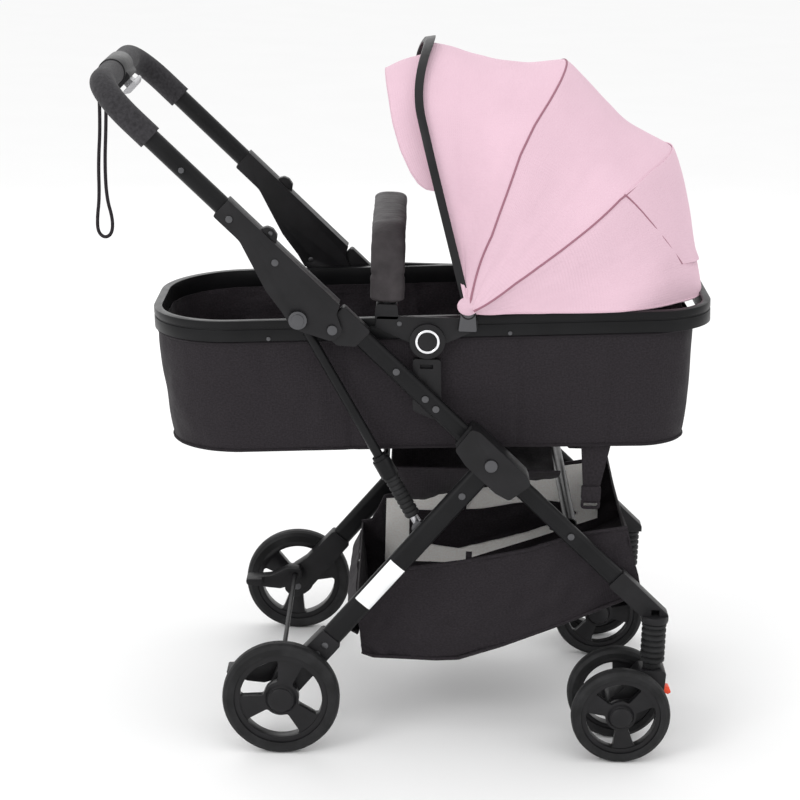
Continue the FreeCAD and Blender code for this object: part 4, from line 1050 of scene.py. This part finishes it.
class STROLLER_OT_boards(bpy.types.Operator):
    """Stands the pale boards and dark slip pockets inside the long walls and hangs the rear pocket"""
    bl_idname = "stroller.boards"
    bl_label = "Basket boards and pockets"

    def execute(self, context):
        def wall(top_line, low_line, y, bow):
            def place(u, v):
                top, low = along_line(top_line, u), along_line(low_line, u)
                out = bow * math.sin(math.pi * u) ** 0.5 * math.sin(math.pi * min(1, 0.25 + v * 0.75))
                out += bow * 0.6 * ripple((u * 9, v * 3, y * 10), 27.0)
                return Vector((top[0] + (low[0] - top[0]) * v, y - math.copysign(out, y),
                               top[1] + (low[1] - top[1]) * v - bow * 0.8 * math.sin(math.pi * u)))
            return place

        for side_name, side in SIDES:
            board_place = wall(BOARD_TOP, BOARD_LOW, side * BOARD_Y, 0.001)
            board = cloth_grid("basket_board_" + side_name, 70, 24, board_place, (0.34, 0.12))
            thicken(board, 0.0022, 0)
            dress(board, "front_frame", "fabric_pale", "board_cloth_painted_light", (), 50)
            slip_place = wall(SLIP_TOP, SLIP_LOW, side * SLIP_Y, SLIP_BOW)
            slip = cloth_grid("slip_pocket_" + side_name, 90, 30, slip_place, (0.27, 0.08))
            thicken(slip, 0.0016, 0)
            dress(slip, "front_frame", "fabric_pale", "basket_cloth", (), 60)
            hem_place = wall(SLIP_TOP, SLIP_LOW, side * SLIP_HEM_Y, SLIP_BOW)
            hem = traced(59, lambda u: hem_place(u, 0.0))
            dress(cord_mesh("slip_hem_" + side_name, hem, 0.0018), "front_frame", "fabric_pale", "webbing")
            clear_selection()
            x, y, z = TAPE_PLACE
            bpy.ops.mesh.primitive_cube_add(size=1, location=(x, side * y, z))
            tape = added("slip_tape_" + side_name)
            tape.scale = TAPE_SIZE
            settle(tape)
            dress(tape, "front_frame", "fabric_pale", "webbing", (), 40)

        def pocket_place(u, v):
            y = (u - 0.5) * 2 * POCKET_HALF
            x, z = along_line(POCKET_LINE, v)
            sag = math.sin(math.pi * u) ** 0.3
            x = POCKET_X + (x - POCKET_X) * (0.45 + 0.55 * sag)
            return Vector((x + 0.002 * ripple((u * 7, v * 3, 0), 40.0), y, z - 0.004 * sag * (1 - v)))

        pocket = cloth_grid("basket_pocket", 80, 36, pocket_place, (0.30, 0.17))
        thicken(pocket, 0.002)
        dress(pocket, "front_frame", "fabric_dark", "basket_cloth", ("basket_pockets",), 60)
        return {"FINISHED"}


HAMMOCK_LOW = [(-0.010, 0.345), (0.009, 0.322), (0.034, 0.318), (0.064, 0.332), (0.109, 0.349), (0.154, 0.356),
               (0.200, 0.361), (0.236, 0.366)]
HAMMOCK_WIDTH, HAMMOCK_TOP = 0.26, 0.404


class STROLLER_OT_underseat(bpy.types.Operator):
    """Hangs the slack cloth under the carrycot"""
    bl_idname = "stroller.underseat"
    bl_label = "Underseat flap"

    def execute(self, context):
        def place(u, v):
            x, z = along_line(HAMMOCK_LOW, u)
            y = (v - 0.5) * HAMMOCK_WIDTH
            rise = abs(2 * v - 1) ** 2.2
            fold = 0.004 * ripple((u * 9, v * 4, 0), 2.0) + 0.0022 * ripple((u * 22, v * 9, 3), 7.0)
            return Vector((x, y, z + (HAMMOCK_TOP - z) * rise + fold * (1 - rise)))

        flap = cloth_grid("underseat_cloth", 90, 60, place, (0.26, 0.32))
        outward(flap)
        thicken(flap, 0.0025)
        dress(flap, "carrycot", "fabric_dark", "webbing", ("underseat_flap",), 60)
        return {"FINISHED"}


RING_RADIUS, RING_THICK, RING_OUT = 0.0155, 0.0022, 0.0058
DOME_RADIUS, DOME_DEEP, DOME_OUT = 0.0142, 0.006, 0.0032


class STROLLER_OT_buttons(bpy.types.Operator):
    """Makes the round carrycot release buttons with their bright rings"""
    bl_idname = "stroller.buttons"
    bl_label = "Carrycot release buttons"

    def execute(self, context):
        for side_name, side in SIDES:
            node_name = "seat_button_" + side_name
            low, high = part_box(node_name)
            x, z = (low.x + high.x) / 2, (low.z + high.z) / 2
            inner = low.y if side > 0 else high.y
            clear_selection()
            bpy.ops.mesh.primitive_torus_add(location=(x, inner + side * RING_OUT, z), rotation=(math.pi / 2, 0, 0),
                                             major_radius=RING_RADIUS, minor_radius=RING_THICK,
                                             major_segments=72, minor_segments=16)
            ring = added("button_ring_" + side_name)
            settle(ring)
            outward(ring)
            dress(ring, node_name, "ring_chrome", "bright_chrome", (), 60)
            clear_selection()
            bpy.ops.mesh.primitive_cylinder_add(vertices=72, radius=DOME_RADIUS, depth=DOME_DEEP,
                                                location=(x, inner + side * DOME_OUT, z),
                                                rotation=(math.pi / 2, 0, 0))
            dome = added("button_dome_" + side_name)
            settle(dome)
            modify(dome, "BEVEL", width=0.0024, segments=5, limit_method="ANGLE")
            outward(dome)
            dress(dome, node_name, "plastic_black", "wheel_black", (node_name,), 40)
        return {"FINISHED"}


LABEL_LONG, LABEL_WIDE, LABEL_FROM_PIVOT, LABEL_Y = 0.078, 0.027, 0.240, -0.2243
LEG_FLAT_HALF, LEG_ROUNDING = 0.007, 0.009


class STROLLER_OT_label(bpy.types.Operator):
    """Sticks a blank label on the right rear leg"""
    bl_idname = "stroller.label"
    bl_label = "Blank label"

    def execute(self, context):
        pivot, wheel = joint_place("rear_leg_fold"), joint_place("spin_rear_right")
        down = Vector((wheel.x - pivot.x, 0, wheel.z - pivot.z)).normalized()
        across = Vector((-down.z, 0, down.x))
        clear_selection()
        bpy.ops.mesh.primitive_grid_add(x_subdivisions=24, y_subdivisions=10, size=1)
        label = added("leg_label")
        for vertex in label.data.vertices:
            a, b = vertex.co.x * LABEL_LONG, vertex.co.y * LABEL_WIDE
            place = Vector((pivot.x, 0, pivot.z)) + down * (LABEL_FROM_PIVOT + a) + across * b
            bend = max(0.0, abs(b) - LEG_FLAT_HALF)
            round_off = LEG_ROUNDING - math.sqrt(LEG_ROUNDING ** 2 - bend ** 2)
            vertex.co = Vector((place.x, LABEL_Y + round_off, place.z))
        thicken(label, 0.0003)
        dress(label, "rear_legs", "fabric_pale", "label_white", (), 40)
        return {"FINISHED"}


class STROLLER_PT_panel(bpy.types.Panel):
    """Lists the stroller's steps and its sizes and colours"""
    bl_idname = "STROLLER_PT_panel"
    bl_label = "Folding Stroller"
    bl_space_type = "VIEW_3D"
    bl_region_type = "UI"
    bl_category = "Stroller"

    def draw(self, context):
        for step in STEPS:
            self.layout.operator(step.bl_idname)
        for group in (context.scene.stroller_sizes, context.scene.stroller_colours):
            column = self.layout.column()
            for key in group.__annotations__:
                column.prop(group, key)


STEPS = (STROLLER_OT_stage, STROLLER_OT_wrist_strap, STROLLER_OT_hard_parts, STROLLER_OT_canopy,
         STROLLER_OT_rear_flap, STROLLER_OT_visor, STROLLER_OT_carrycot, STROLLER_OT_mattress,
         STROLLER_OT_bumper_sleeve, STROLLER_OT_basket, STROLLER_OT_boards, STROLLER_OT_underseat,
         STROLLER_OT_buttons, STROLLER_OT_label)
CLASSES = (StrollerSizes, StrollerColours, *STEPS, STROLLER_PT_panel)


def register():
    for cls in CLASSES:
        bpy.utils.register_class(cls)
    bpy.types.Scene.stroller_sizes = PointerProperty(type=StrollerSizes)
    bpy.types.Scene.stroller_colours = PointerProperty(type=StrollerColours)


def unregister():
    del bpy.types.Scene.stroller_colours
    del bpy.types.Scene.stroller_sizes
    for cls in reversed(CLASSES):
        bpy.utils.unregister_class(cls)


def main():
    register()
    make_finishes()
    for step in STEPS:
        group, name = step.bl_idname.split(".")
        getattr(getattr(bpy.ops, group), name)()


if __name__ == "__main__":
    main()
